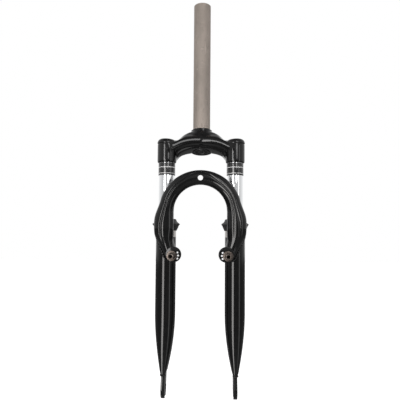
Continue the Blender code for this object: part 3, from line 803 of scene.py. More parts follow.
def tapered_tube_tree():
    """A tube that is round at its top and flattens towards a rounded end."""
    numbers = {
        "Radius": 0.016, "Top": -0.161, "Taper top": -0.298, "End": -0.389,
        "End half width": 0.0043, "End half depth": 0.0202, "End shift": 0.007,
        "End rounding": 0.006, "Leg X": 0.055, "Leg forward": 0.028,
    }
    inputs = {label: ("Float", value) for label, value in numbers.items()}
    inputs.update({"Around": ("Int", 96), "Along": ("Int", 170), "Material": ("Material", None)})
    tree, given, out = shape_tree("Tapered tube", inputs)
    asked = {label: Term(tree, given.outputs[label]) for label in numbers}
    depth = asked["Top"] - asked["End"]
    cylinder = add(tree, "GeometryNodeMeshCylinder", {
        "Vertices": given.outputs["Around"], "Side Segments": given.outputs["Along"],
        "Radius": 1.0, "Depth": depth,
    })
    place = add(tree, "ShaderNodeSeparateXYZ", {
        "Vector": add(tree, "GeometryNodeInputPosition").outputs[0],
    })
    cosine, sine, level = (Term(tree, place.outputs[axis]) for axis in "XYZ")
    z = level + depth * 0.5 + asked["End"]
    part = ((asked["Taper top"] - z) / (asked["Taper top"] - asked["End"])).clamp()
    half_x = asked["Radius"] + (asked["End half width"] - asked["Radius"]) * part**2.0
    half_y = asked["Radius"] + (asked["End half depth"] - asked["Radius"]) * part**1.5
    exponent = (part**2.0 * 0.6 + 1.0) ** -1.0
    above = ((z - asked["End"]) / asked["End rounding"]).clamp()
    close = (1.0 - (1.0 - above) ** 2.0).math("SQRT") * 0.35 + 0.65
    across = (cosine.math("ABSOLUTE") ** exponent) * cosine.math("SIGN") * half_x * close
    along = (sine.math("ABSOLUTE") ** exponent) * sine.math("SIGN") * half_y
    along = along * (close * 0.3 + 0.7)
    spot = add(tree, "ShaderNodeCombineXYZ", {
        "X": across + asked["Leg X"],
        "Y": along - asked["Leg forward"] - asked["End shift"] * part**2.0,
        "Z": z,
    })
    moved = add(tree, "GeometryNodeSetPosition", {
        "Geometry": cylinder.outputs["Mesh"], "Position": spot.outputs[0],
    })
    finish_tree(tree, given, out, moved.outputs[0])
    return tree


def coil_tree():
    """A compression spring whose first and last turns lie close together."""
    numbers = {
        "Radius": 0.0086, "Wire": 0.003, "Bottom": -0.222, "Top": -0.066, "Turns": 13.0,
        "Closed pitch": 0.0033, "Leg X": 0.055, "Leg forward": 0.028,
    }
    inputs = {label: ("Float", value) for label, value in numbers.items()}
    inputs.update({"Steps": ("Int", 40), "Sides": ("Int", 12), "Material": ("Material", None)})
    tree, given, out = shape_tree("Coil spring", inputs)
    asked = {label: Term(tree, given.outputs[label]) for label in numbers}
    spiral = add(tree, "GeometryNodeCurveSpiral", {
        "Resolution": given.outputs["Steps"], "Rotations": asked["Turns"],
        "Start Radius": asked["Radius"], "End Radius": asked["Radius"], "Height": 1.0,
    })
    place = add(tree, "ShaderNodeSeparateXYZ", {
        "Vector": add(tree, "GeometryNodeInputPosition").outputs[0],
    })
    x, y, level = (Term(tree, place.outputs[axis]) for axis in "XYZ")
    turn = level * asked["Turns"]
    low, high = asked["Bottom"] + asked["Wire"] * 0.5, asked["Top"] - asked["Wire"] * 0.5
    open_turns = asked["Turns"] - 2.0
    open_pitch = (high - low - asked["Closed pitch"] * 2.0) / open_turns
    first = turn.math("MINIMUM", 1.0)
    middle = (turn - 1.0).math("MAXIMUM", 0.0).math("MINIMUM", open_turns)
    last = (turn - (asked["Turns"] - 1.0)).math("MAXIMUM", 0.0)
    z = low + (first + last) * asked["Closed pitch"] + middle * open_pitch
    spot = add(tree, "ShaderNodeCombineXYZ", {
        "X": x + asked["Leg X"], "Y": y - asked["Leg forward"], "Z": z,
    })
    moved = add(tree, "GeometryNodeSetPosition", {
        "Geometry": spiral.outputs[0], "Position": spot.outputs[0],
    })
    wire = add(tree, "GeometryNodeCurvePrimitiveCircle", {
        "Resolution": given.outputs["Sides"], "Radius": asked["Wire"] * 0.5,
    })
    swept = add(tree, "GeometryNodeCurveToMesh", {
        "Curve": moved.outputs[0], "Profile Curve": wire.outputs[0], "Fill Caps": True,
    })
    finish_tree(tree, given, out, swept.outputs[0])
    return tree


def bead_tree():
    """A rippled weld bead along the path that the object's own curve gives."""
    numbers = {"Width": 0.0028, "Ripple": 0.0013, "Unevenness": 0.25, "Step": 0.0003}
    inputs = {"Path": ("Geometry", None)}
    inputs.update({label: ("Float", value) for label, value in numbers.items()})
    inputs.update({"Sides": ("Int", 12), "Seed": ("Float", 0.0), "Material": ("Material", None)})
    tree, given, out = shape_tree("Weld bead", inputs)
    asked = {label: Term(tree, given.outputs[label]) for label in numbers}
    steps = add(
        tree, "GeometryNodeResampleCurve",
        {"Curve": given.outputs["Path"], "Length": asked["Step"]}, mode="LENGTH",
    )
    spline = add(tree, "GeometryNodeSplineParameter")
    length, factor = (Term(tree, spline.outputs[label]) for label in ("Length", "Factor"))
    wave = (length / asked["Ripple"] * (2 * math.pi)).math("SINE").math("ABSOLUTE")
    where = add(tree, "ShaderNodeCombineXYZ", {"X": length, "Y": given.outputs["Seed"]})
    wander = noise_term(tree, where.outputs[0], 320.0, detail=2.0) - 0.5
    ends = (factor * (1.0 - factor) * 30.0).clamp() * 0.45 + 0.55
    scale = (wave * 0.16 + 0.84 + wander * asked["Unevenness"]) * ends
    circle = add(tree, "GeometryNodeCurvePrimitiveCircle", {
        "Resolution": given.outputs["Sides"], "Radius": asked["Width"] * 0.5,
    })
    swept = add(tree, "GeometryNodeCurveToMesh", {
        "Curve": steps.outputs[0], "Profile Curve": circle.outputs[0],
        "Scale": scale, "Fill Caps": True,
    })
    finish_tree(tree, given, out, swept.outputs[0])
    return tree


def path_curve(name, points):
    """A smooth open curve through the given points."""
    curve = bpy.data.curves.new(name, "CURVE")
    curve.dimensions = "3D"
    spline = curve.splines.new("POLY")
    rows = np.array(points)
    fine = open_through(np.vstack([2 * rows[0] - rows[1], rows, 2 * rows[-1] - rows[-2]]), 6)
    spline.points.add(len(fine) - 1)
    for point, spot in zip(spline.points, fine):
        point.co = (*spot, 1.0)
    return curve


# Steerer

def build_steerer():
    wall = bpy.context.scene.fork_sizes.wall
    top, end, radius = STEERER_HIGH.z, UNDERSIDE_CENTRE_Z + 0.0045, STEERER_RADIUS
    profile = rounded(
        [(radius, top), (radius, end), (radius - wall, end), (radius - wall, top)],
        0.0006, steps=5,
    )
    rings = []
    for a, b in zip(profile, profile[1:] + profile[:1]):
        count = max(1, round(abs(b[1] - a[1]) / 0.004))
        rings += [(mix(a[0], b[0], i / count), mix(a[1], b[1], i / count)) for i in range(count)]
    steerer = turned("bare_steerer", rings, steps=128)
    give(steerer, material_for("steel"), "upper", "bare_steel", "steerer_tube")


def build_bottom_plug():
    profile = [
        (0.0136, 0.0080), (0.0136, 0.0010), (0.0126, -0.0008), (0.0108, -0.0006),
        (0.0094, 0.0022), (0.0070, 0.0026), (0.0060, 0.0000), (0.0036, -0.0002),
        (0.0027, 0.0010), (0.0027, 0.0080),
    ]
    plug = turned("steerer_insert", rounded(profile, 0.0004), steps=96)
    move(plug, underside_matrix())
    give(plug, material_for("plastic"), "upper", "black_plastic", "steerer_bottom_plug")


# Crown: forward and height of the beam's section, at the middle and inside the sleeves,
# from the crest over the front roll, into the cove, along the lower lip and up the back.

CREST_FLAT = 0.0091
CREST_FALL = 22.1
CREST_LOWEST = -0.0225
BEAM_HALF_LENGTH = 0.048
BEAM_REACH = 0.0545
BEAM_MIDDLE = (
    (0.0040, -0.0042), (0.0150, -0.0105), (0.0240, -0.0155), (0.0272, -0.0182),
    (0.0288, -0.0222), (0.0284, -0.0258), (0.0262, -0.0284), (0.0212, -0.0296),
    (0.0180, -0.0310), (0.0180, -0.0332), (0.0155, -0.0347), (-0.0100, -0.0385),
    (-0.0175, -0.0365), (-0.0205, -0.0260), (-0.0180, -0.0155), (-0.0080, -0.0082),
)
BEAM_END = (
    (0.0280, -0.0292), (0.0350, -0.0300), (0.0385, -0.0312), (0.0405, -0.0330),
    (0.0420, -0.0375), (0.0418, -0.0415), (0.0400, -0.0445), (0.0360, -0.0475),
    (0.0345, -0.0510), (0.0345, -0.0555), (0.0320, -0.0590), (0.0220, -0.0590),
    (0.0165, -0.0530), (0.0150, -0.0440), (0.0165, -0.0345), (0.0220, -0.0305),
)
RACE_SEAT_RADIUS = 0.0154
RACE_LEDGE_RADIUS = 0.0177
UNDERSIDE_RADIUS = 0.0190
UNDERSIDE_CENTRE_Z = -0.0378
UNDERSIDE_TILT = math.radians(10.5)


BELL = (
    (-0.0024, 0.0176, 0.0176, 0.0000), (-0.0050, 0.0187, 0.0184, 0.0000),
    (-0.0085, 0.0226, 0.0196, 0.0020), (-0.0120, 0.0272, 0.0202, 0.0042),
    (-0.0155, 0.0322, 0.0202, 0.0066), (-0.0188, 0.0360, 0.0192, 0.0084),
    (-0.0250, 0.0330, 0.0150, 0.0080),
)


def beam_section(x):
    part = min(1.0, abs(x) / BEAM_HALF_LENGTH)
    beyond = max(0.0, abs(x) - BEAM_HALF_LENGTH) / (BEAM_REACH - BEAM_HALF_LENGTH)
    ring = []
    for i, ((forward, height), (end_forward, end_height)) in enumerate(
        zip(BEAM_MIDDLE, BEAM_END)
    ):
        y = -mix(forward, end_forward, part**1.15)
        z = mix(height, end_height, part**2.4)
        if 7 < i < 13:
            z = max(z - 0.005 * ramp(0.68, 0.9, part), CROWN_LOW.z + 0.0004)
        y = mix(y, -LEG_FORWARD, 0.06 * beyond**2) - 0.0020 * (beyond > 0) * (y < -0.034)
        ring.append((x, y, z))
    crest = BEAM_MIDDLE[0][1] - CREST_FALL * max(0.0, abs(x) - CREST_FLAT) ** 2
    crest = max(crest, CREST_LOWEST)
    ring[0] = (x, ring[0][1], crest)
    ring[1] = (x, ring[1][1], min(ring[1][2], crest - 0.0035))
    ring[-1] = (x, ring[-1][1], min(ring[-1][2], crest - 0.0030))
    return smooth_through(ring, 3)


def underside_matrix():
    """Places the boss under the crown, whose face turns a little to the front."""
    centre = Matrix.Translation((0.0, 0.0, UNDERSIDE_CENTRE_Z))
    return centre @ Matrix.Rotation(-UNDERSIDE_TILT, 4, "X")


def hollow(body):
    """Cuts the steerer's bore through a piece of the crown."""
    bore = turned(
        "crown_bore", [(0.0, 0.01), (0.0158, 0.01), (0.0158, -0.06), (0.0, -0.06)], steps=64
    )
    cut = body.modifiers.new("Bore", "BOOLEAN")
    cut.object = bore
    cut.operation = "DIFFERENCE"
    settle(body)
    bpy.data.objects.remove(bore)


def build_crown():
    sizes = bpy.context.scene.fork_sizes
    count = 61
    stations = [mix(-BEAM_REACH, BEAM_REACH, i / (count - 1)) for i in range(count)]
    beam = loft("crown_beam", [beam_section(x) for x in stations])
    core_profile = [
        (0.0176, -0.0024), (0.0184, -0.0050), (0.0196, -0.0085), (0.0214, -0.0122),
        (0.0236, -0.0160), (0.0238, -0.0200), (0.0215, -0.0260), (0.0180, -0.0320),
        (0.0158, -0.0330), (0.0158, -0.0024),
    ]
    rings = []
    for height, half_width, half_depth, forward in BELL:
        turn = [2 * math.pi * i / 72 for i in range(72)]
        rings.append([
            (half_width * math.cos(t), half_depth * math.sin(t) - forward, height)
            for t in turn
        ])
    bell = loft("crown_bell", rings)
    hollow(beam)
    hollow(bell)
    pieces = [beam, bell, turned("crown_core", core_profile, steps=72)]
    sleeve_low, sleeve_high = CROWN_LOW.z, CAP_HIGH.z - 0.0080
    for side, word in SIDES:
        sleeve_profile = [
            (0.0, sleeve_high), (SLEEVE_RADIUS, sleeve_high), (SLEEVE_RADIUS, sleeve_low),
            (0.0, sleeve_low),
        ]
        sleeve = turned(
            f"crown_sleeve_{word}", sleeve_profile, (side * LEG_X, -LEG_FORWARD), steps=72
        )
        pieces.append(sleeve)
    crown = join("forged_crown", pieces)
    fuse = crown.modifiers.new("Fuse", "REMESH")
    fuse.mode = "VOXEL"
    fuse.voxel_size = sizes.voxel
    ease = crown.modifiers.new("Ease", "SMOOTH")
    ease.factor = 0.5
    ease.iterations = sizes.fillet_passes
    settle(crown, sharp=180)
    seat = rounded([
        (RACE_SEAT_RADIUS, CROWN_HIGH.z), (RACE_SEAT_RADIUS, -0.0018),
        (RACE_LEDGE_RADIUS, -0.0018), (RACE_LEDGE_RADIUS, -0.0040), (0.0190, -0.0050),
        (0.0190, -0.0075), (STEERER_RADIUS + 0.0002, -0.0075),
        (STEERER_RADIUS + 0.0002, CROWN_HIGH.z),
    ], 0.00035)
    ring = rounded([
        (UNDERSIDE_RADIUS - 0.0015, 0.0085), (UNDERSIDE_RADIUS, 0.0014),
        (UNDERSIDE_RADIUS - 0.0008, 0.0), (0.0162, -0.0003), (0.0150, 0.0016),
        (0.0138, 0.0016), (0.0138, 0.0085),
    ], 0.0007)
    ring = move(turned("underside_boss", ring, steps=128), underside_matrix())
    crown = join("forged_crown", [crown, turned("race_seat", seat, steps=128), ring])
    crown.data.shade_smooth()
    crown.data.set_sharp_from_angle(angle=math.radians(40))
    give(crown, material_for("paint"), "upper", "black_paint", "crown")


def build_crown_caps():
    for side, word in SIDES:
        radius, edge = SLEEVE_RADIUS - 0.0001, 0.0072
        top, seam = -0.0006, -0.0086
        profile = [(0.0, top - 0.0004), (0.0042, top - 0.0004), (0.0048, top - 0.0009)]
        profile += [(0.0056, top - 0.0009), (0.0062, top)]
        profile += [(radius - edge + a, top - edge + b) for a, b in arc(0, 0, edge, 88, 4, 11)]
        profile += [(radius, seam), (radius - 0.0012, seam - 0.0006), (0.0126, seam - 0.0006)]
        profile += [(0.0126, -0.0150), (0.0, -0.0150)]
        cap = turned(f"crown_cap_{word}_fine", rounded(profile, 0.0004, closed=False))
        lean = Matrix.Rotation(-side * math.radians(3.0), 4, "Y")
        move(cap, Matrix.Translation((side * LEG_X, -LEG_FORWARD, CAP_HIGH.z)) @ lean)
        give(cap, material_for("cap"), "upper", "cap_plastic", f"crown_cap_{word}")


def build_label_bands():
    for side, word in SIDES:
        inner, outer = STANCHION_RADIUS + 0.00005, (BAND_HIGH.x - BAND_LOW.x) / 2
        profile = rounded(
            [(outer, BAND_HIGH.z), (outer, BAND_LOW.z), (inner, BAND_LOW.z), (inner, BAND_HIGH.z)],
            0.0002,
        )
        band = turned(f"printed_band_{word}", profile, (side * LEG_X, -LEG_FORWARD))
        give(band, material_for("band"), "upper", "black_plastic", f"label_band_{word}")


def build_stanchions():
    for side, word in SIDES:
        top, end, outer = STANCHION_HIGH.z, STANCHION_LOW.z, STANCHION_RADIUS
        profile = rounded(
            [(outer, top), (outer, end), (outer - 0.0016, end), (outer - 0.0016, top)], 0.0005
        )
        tube = turned(f"chrome_stanchion_{word}", profile, (side * LEG_X, -LEG_FORWARD), 128)
        give(tube, material_for("chrome"), "upper", "chrome", f"stanchion_{word}")


# Lower assembly

TAPER_TOP = -0.298
TUBE_END_HALF_WIDTH = 0.0043
TUBE_END_HALF_DEPTH = 0.0202
TUBE_END_FORWARD = 0.035


def build_lower_tubes():
    tree = tapered_tube_tree()
    for side, word in SIDES:
        tube = grown(f"tapered_leg_{word}", tree, {
            "Radius": TUBE_RADIUS, "Top": TUBE_HIGH.z, "Taper top": TAPER_TOP,
            "End": TUBE_LOW.z, "End half width": TUBE_END_HALF_WIDTH,
            "End half depth": TUBE_END_HALF_DEPTH,
            "End shift": TUBE_END_FORWARD - LEG_FORWARD, "End rounding": 0.005,
            "Leg X": side * LEG_X, "Leg forward": LEG_FORWARD,
            "Material": material_for("tube"),
        })
        give(tube, material_for("tube"), "lowers", "black_paint", f"lower_tube_{word}")


AXLE_FORWARD = 0.040
AXLE_Z = -0.410
AXLE_SLOT_RADIUS = 0.005
DROPOUT_RADIUS = 0.0155


def build_dropouts():
    thickness = DROPOUT_HIGH.x - DROPOUT_LOW.x
    reach = math.degrees(math.asin(AXLE_SLOT_RADIUS / DROPOUT_RADIUS))
    axle = (AXLE_FORWARD, AXLE_Z)
    top = DROPOUT_HIGH.z
    outline = [(0.0215, top), (0.0215, -0.3935), (0.0225, -0.3990)]
    outline += arc(*axle, DROPOUT_RADIUS, 172, 270 - reach, 24)
    outline += arc(*axle, AXLE_SLOT_RADIUS, 180, 0, 25)
    outline += arc(*axle, DROPOUT_RADIUS, 270 + reach, 368, 24)
    outline += [(0.0525, -0.3990), (0.0500, -0.3935), (0.0490, top)]
    for side, word in SIDES:
        blade = plate(f"dropout_{word}_fine", [outline], thickness, 0.0007)
        turn = Matrix.Rotation(math.radians(-90), 4, "Z") @ Matrix.Rotation(math.radians(90), 4, "X")
        move(blade, Matrix.Translation((side * LEG_X, 0.0, 0.0)) @ turn)
        give(blade, material_for("paint"), "lowers", "black_paint", f"dropout_{word}")


def build_dust_seals():
    top, low = SEAL_HIGH.z, SEAL_LOW.z
    lip = (SEAL_HIGH.x - SEAL_LOW.x) / 2
    wiper = STANCHION_RADIUS + 0.0002
    profile = [
        (0.0141, top), (0.0150, top - 0.0001), (0.0163, top - 0.0015),
        (0.0168, top - 0.0034), (0.0180, top - 0.0050), (lip - 0.0006, top - 0.0076),
        (lip, top - 0.0085), (lip - 0.0008, top - 0.0094), (0.0198, top - 0.0116),
        (0.0190, top - 0.0142), (0.0184, top - 0.0150), (0.0184, top - 0.0158),
        (0.0176, top - 0.0164), (0.0172, low + 0.0006), (0.0168, low), (0.0161, low),
        (0.0161, TUBE_HIGH.z + 0.0003), (wiper, TUBE_HIGH.z + 0.0003),
        (wiper, top - 0.0040), (0.0134, top - 0.0022),
    ]
    for side, word in SIDES:
        seal = turned(
            f"wiper_seal_{word}", rounded(profile, 0.0005), (side * LEG_X, -LEG_FORWARD)
        )
        give(seal, material_for("rubber"), "lowers", "rubber", f"dust_seal_{word}")


# Brake arch: its edges as (x, z) pairs below the half circle, inner then outer, down the
# right side.

ARCH_CENTRE_Z = -0.1395
ARCH_INNER_RADIUS = 0.0415
ARCH_OUTER_RADIUS = 0.0648
ARCH_RIM_FORWARD = 0.0472
ARCH_FRONT_FORWARD = 0.0575
ARCH_PAD_FORWARD = 0.0525
ARCH_WALL = 0.0023
ARCH_HOLE_Z = -0.0878
ARCH_HOLE_RADIUS = 0.004
ARCH_SIDE = (
    ((0.0415, -0.1395), (0.0684, -0.1395)),
    ((0.0415, -0.1460), (0.0705, -0.1460)),
    ((0.0415, -0.1530), (0.0718, -0.1530)),
    ((0.0415, -0.1610), (0.0721, -0.1610)),
    ((0.0416, -0.1690), (0.0719, -0.1690)),
    ((0.0419, -0.1765), (0.0711, -0.1765)),
    ((0.0418, -0.1840), (0.0684, -0.1835)),
    ((0.0405, -0.1910), (0.0652, -0.1905)),
    ((0.0382, -0.1980), (0.0620, -0.1980)),
    ((0.0362, -0.2045), (0.0590, -0.2045)),
    ((0.0356, -0.2100), (0.0562, -0.2105)),
    ((0.0372, -0.2145), (0.0530, -0.2148)),
    ((0.0412, -0.2172), (0.0482, -0.2175)),
)
ARCH_WRAP_TOP = -0.1640
ARCH_WRAP_FULL = -0.2000
ARCH_WRAP_FORWARD = 0.0385
ARCH_STATIONS = 8
ARCH_STEPS = 42


def leg_front(x):
    """How far forward the leg's surface is at x, with a little room."""
    radius = TUBE_RADIUS + 0.0002
    across = abs(x) - LEG_X
    return LEG_FORWARD + math.sqrt(max(0.0, radius**2 - across**2))


def arch_edges():
    """Smooth (inner, outer, turn) stations from the middle of the arch down its right side.

    The turn is how far round the arch a station is, from 0 at the top to 1 where the
    sides run straight.
    """
    rows = []
    for i in range(11):
        angle = math.radians(78) * i / 10
        row = []
        for radius in (ARCH_INNER_RADIUS, ARCH_OUTER_RADIUS):
            row += [radius * math.sin(angle), ARCH_CENTRE_Z + radius * math.cos(angle)]
        rows.append(row + [angle / math.radians(78)])
    for inner, outer in ARCH_SIDE:
        rows.append([*inner, *outer, 1.0])
    rows = np.array(rows)
    before = rows[1] * np.array([-1, 1, -1, 1, -1])
    rows = np.vstack([before, rows, 2 * rows[-1] - rows[-2]])
    return open_through(rows, ARCH_STATIONS)


def arch_rise(step, turn, wrap, z):
    """Share of the full depth at step, from -1 on the inner edge to 1 on the outer.

    Also gives the depth of two fine creases there, as a share of their full depth.
    """
    crest = -0.03
    side = (step - crest) / ((1 - crest) if step > crest else (1 + crest))
    bulge = (1 - abs(side) ** mix(1.8, 2.4, wrap)) ** mix(0.5, 0.6, wrap)
    outer = mix(mix(0.62, 0.12, ramp(0.04, 0.42, turn)), 0.30, ramp(-0.140, -0.165, z))
    inner = mix(-0.62, -0.30, ramp(0.2, 1.0, turn))
    crease = math.exp(-(((step - outer) / 0.11) ** 2)) * ramp(0.02, 0.12, turn)
    faint = math.exp(-(((step - inner) / 0.11) ** 2)) * ramp(0.4, 0.9, turn)
    return bulge, max(crease, 0.45 * faint) * (1 - 0.8 * wrap)


def arch_section(row, groove_depth):
    inner, outer, turn = row[:2], row[2:4], abs(row[4])
    wrap = 1 - ramp(ARCH_WRAP_FULL, ARCH_WRAP_TOP, (inner[1] + outer[1]) / 2)
    front = mix(ARCH_FRONT_FORWARD, ARCH_PAD_FORWARD, wrap)
    rim = mix(ARCH_RIM_FORWARD, ARCH_WRAP_FORWARD, wrap)
    width = math.dist(inner, outer)
    shrink = 1 - 2 * ARCH_WALL / width
    steps = [
        math.sin(math.pi / 2 * i / ARCH_STEPS) for i in range(-ARCH_STEPS, ARCH_STEPS + 1)
    ]
    ring = []
    for skin, depth in ((1.0, front), (shrink, front - ARCH_WALL)):
        line = []
        for step in steps:
            across = (1 + step * skin) / 2
            x, z = mix(inner[0], outer[0], across), mix(inner[1], outer[1], across)
            rise, groove = arch_rise(step, turn, wrap, z)
            forward = mix(rim, depth, rise) - groove * groove_depth
            if wrap > 0.0:
                forward = max(forward, leg_front(x))
            line.append((x, -forward, z))
        ring += line if skin == 1.0 else line[::-1]
    return ring


def build_brake_arch():
    depth = bpy.context.scene.fork_sizes.groove
    right = [arch_section(row, depth) for row in arch_edges()]
    left = [[(-x, y, z) for x, y, z in ring] for ring in right[:0:-1]]
    arch = loft("pressed_arch", left + right)
    drill = turned(
        "arch_drill",
        [(0.0, 0.080), (ARCH_HOLE_RADIUS, 0.080), (ARCH_HOLE_RADIUS, 0.030), (0.0, 0.030)],
        steps=64,
    )
    move(drill, Matrix.Translation((0, 0, ARCH_HOLE_Z)) @ Matrix.Rotation(math.radians(90), 4, "X"))
    cut = arch.modifiers.new("Hole", "BOOLEAN")
    cut.object = drill
    cut.operation = "DIFFERENCE"
    edge = arch.modifiers.new("Edges", "BEVEL")
    edge.width = 0.0006
    edge.segments = 3
    edge.limit_method = "ANGLE"
    edge.angle_limit = math.radians(50)
    settle(arch, sharp=75)
    bpy.data.objects.remove(drill)
    give(arch, material_for("paint"), "lowers", "black_paint", "brake_arch")


def forward_matrix(x, z):
    """Turns +Z to forward and places the result at (x, z)."""
    return Matrix.Translation((x, 0.0, z)) @ Matrix.Rotation(math.radians(90), 4, "X")


def build_brake_bosses():
    tip, root = -BOSS_LOW.y, -BOSS_HIGH.y
    flange_back = -PLATE_LOW.y + 0.0003
    flange = flange_back + 0.002
    thread = []
    for i in range(18):
        depth = tip - 0.0150 + i * 0.0008
        thread += [(0.0022, depth), (0.0026, depth + 0.0004)]
    profile = [(0.0, tip - 0.0170), (0.0021, tip - 0.0158)] + thread
    profile += [(0.0028, tip - 0.0004), (0.0031, tip), (0.0042, tip), (0.0045, tip - 0.0004)]
    profile += [(0.0045, flange + 0.0008), (0.0052, flange), (0.0077, flange)]
    profile += [(0.0080, flange - 0.0004), (0.0080, flange_back), (0.0050, flange_back)]
    profile += [(0.0050, root), (0.0, root)]
    x, z = (BOSS_LOW.x + BOSS_HIGH.x) / 2, (BOSS_LOW.z + BOSS_HIGH.z) / 2
    for side, word in SIDES:
        stud = turned(f"pivot_stud_{word}", rounded(profile, 0.00025, 2, closed=False))
        move(stud, forward_matrix(side * x, z))
        give(stud, material_for("boss"), "lowers", "boss_steel", f"brake_boss_{word}")


def build_anchor_plates():
    x, z = (PLATE_LOW.x + PLATE_HIGH.x) / 2, (PLATE_LOW.z + PLATE_HIGH.z) / 2
    boss_x, boss_z = (BOSS_LOW.x + BOSS_HIGH.x) / 2, (BOSS_LOW.z + BOSS_HIGH.z) / 2
    radius = (PLATE_HIGH.x - PLATE_LOW.x) / 2
    for side, word in SIDES:
        loops = [arc(side * x, z, radius, 0, 355, 72)]
        loops.append(arc(side * boss_x, boss_z, 0.0055, 0, 348, 30))
        inward = 180 if side > 0 else 0
        for step in (-29, 0, 29):
            angle = math.radians(inward + step)
            hole_x = side * boss_x + 0.0095 * math.cos(angle)
            hole_z = boss_z + 0.0095 * math.sin(angle) + 0.0004
            loops.append(arc(hole_x, hole_z, 0.0014, 0, 342, 20))
        disc = plate(f"spring_anchor_{word}", loops, PLATE_HIGH.y - PLATE_LOW.y, 0.0005)
        middle = -(PLATE_LOW.y + PLATE_HIGH.y) / 2
        move(disc, forward_matrix(0.0, 0.0) @ Matrix.Translation((0, 0, middle)))
        give(disc, material_for("paint"), "lowers", "black_paint", f"anchor_plate_{word}")


def build_welds():
    """Beads where the arch meets the legs and where the dropouts meet the tubes."""
    sizes = bpy.context.scene.fork_sizes
    tree = bead_tree()
    edges = [row for row in arch_edges() if row[1] < -0.176]
    outer = [(row[2], -leg_front(row[2]) - 0.0002, row[3] - 0.0004) for row in edges[::3]]
    paths = {"arch": outer, "dropout_front": [], "dropout_back": []}
    half = TUBE_END_HALF_WIDTH
    for name, y in (("dropout_front", -0.0535), ("dropout_back", -0.0175)):
        toward = 1 if y < -0.03 else -1
        paths[name] = [
            (LEG_X - half * 0.9, y + toward * 0.0030, TUBE_LOW.z + 0.0015),
            (LEG_X - half * 0.4, y + toward * 0.0008, TUBE_LOW.z + 0.0008),
            (LEG_X + half * 0.4, y + toward * 0.0008, TUBE_LOW.z + 0.0008),
            (LEG_X + half * 0.9, y + toward * 0.0030, TUBE_LOW.z + 0.0015),
        ]
    for name, points in paths.items():
        for side, word in SIDES:
            placed = [(side * x, y, z) for x, y, z in points]
            bead = grown(
                f"weld_{name}_{word}", tree,
                {"Width": sizes.bead, "Ripple": sizes.ripple, "Seed": float(side),
                 "Material": material_for("weld")},
                data=path_curve(f"weld_path_{name}_{word}", placed),
            )
            give(bead, material_for("weld"), "lowers", "black_paint")


def build_springs():
    sizes = bpy.context.scene.fork_sizes
    tree = coil_tree()
    low, high = SPRING_LOW.z, SPRING_HIGH.z
    for side, word in SIDES:
        spring = grown(f"main_spring_{word}", tree, {
            "Radius": (SPRING_HIGH.y - SPRING_LOW.y) / 2 - sizes.wire / 2,
            "Wire": sizes.wire, "Bottom": low, "Top": high, "Turns": sizes.spring_turns,
            "Closed pitch": sizes.wire + 0.0003, "Leg X": side * LEG_X,
            "Leg forward": LEG_FORWARD, "Material": material_for("spring"),
        })
        give(spring, material_for("spring"), "upper", "spring_steel", f"coil_spring_{word}")
        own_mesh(spring)


INNER_FINISHES = {
    "preload_spacer": "nylon",
    "slider_bushing": "nylon",
    "guide_bushing": "nylon",
    "compression_rod": "nylon",
    "stanchion_clip": "spring",
    "bushing_clip": "spring",
    "top_out_bumper": "rubber",
    "bottom_out_bumper": "rubber",
    "top_out_spacer": "plastic",
    "rod_base": "plastic",
}


def finish_inner_parts():
    """Gives the pieces inside the legs their materials, on the CAD shapes as they are."""
    for stem, key in INNER_FINISHES.items():
        for side, word in SIDES:
            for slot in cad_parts[f"{stem}_{word}"].material_slots:
                slot.material = material_for(key)


# Studio

CAMERA_SPOT = Vector((0.0171, -0.6984, -0.1627))
CAMERA_AIM = Vector((-0.0271, 0.9977, 0.0628))
CAMERA_ROLL = math.radians(0.43)
CAMERA_LENS = 37.65


# Each light's place, the height that it points at, and its width and height.
LIGHTS = {
    "key": ((-0.48, -1.12, -0.31), -0.31, (0.40, 0.84)),
    "high": ((0.38, -1.05, 0.46), -0.02, (0.30, 0.70)),
    "crown": ((-0.50, -0.95, 0.20), -0.02, (0.22, 0.26)),
    "fill": ((0.95, -0.80, -0.25), -0.25, (0.25, 1.0)),
    "top": ((0.1, 0.1, 1.3), -0.15, (1.2, 1.2)),
}
LIGHT_AIM_FORWARD = 0.03
KEY_COLOUR = (1.0, 0.985, 0.965)


def soft_light(name, power):
    spot, aim_height, size = LIGHTS[name]
    aim = (0.0, -LIGHT_AIM_FORWARD, aim_height)
    data = bpy.data.lights.new(name, "AREA")
    data.shape = "RECTANGLE"
    data.size, data.size_y = size
    data.energy = power
    lamp = link(f"{name}_light", data)
    lamp.location = spot
    lamp.rotation_euler = (Vector(aim) - Vector(spot)).to_track_quat("-Z", "Y").to_euler()
    return lamp


def build_floor():
    height = FORK_LOW.z - bpy.context.scene.fork_studio.floor_drop
    mesh = bpy.data.meshes.new("studio_floor")
    bm = bmesh.new()
    bmesh.ops.create_grid(bm, x_segments=8, y_segments=8, size=6.0)
    bm.to_mesh(mesh)
    bm.free()
    mesh.transform(Matrix.Translation((0, 0, height)))
    floor = link("studio_floor", mesh)
    material, tree, shader = new_material("pale floor")
    cloud = noise_term(tree, object_coordinates(tree), 3.0)
    pale = blend_colours(tree, cloud, (0.78, 0.78, 0.78), (0.81, 0.81, 0.81))
    seen = Term(tree, add(tree, "ShaderNodeLightPath").outputs["Is Camera Ray"])
    tree.links.new(
        blend_colours(tree, seen, (0.30, 0.30, 0.30), pale), shader.inputs["Base Color"]
    )
    tree.links.new(
        blend_colours(tree, seen, (0.0, 0.0, 0.0), pale), shader.inputs["Emission Color"]
    )
    shader.inputs["Emission Strength"].default_value = 0.9
    shader.inputs["Roughness"].default_value = 0.9
    shader.inputs["Specular IOR Level"].default_value = 0.1
    mesh.materials.append(material)


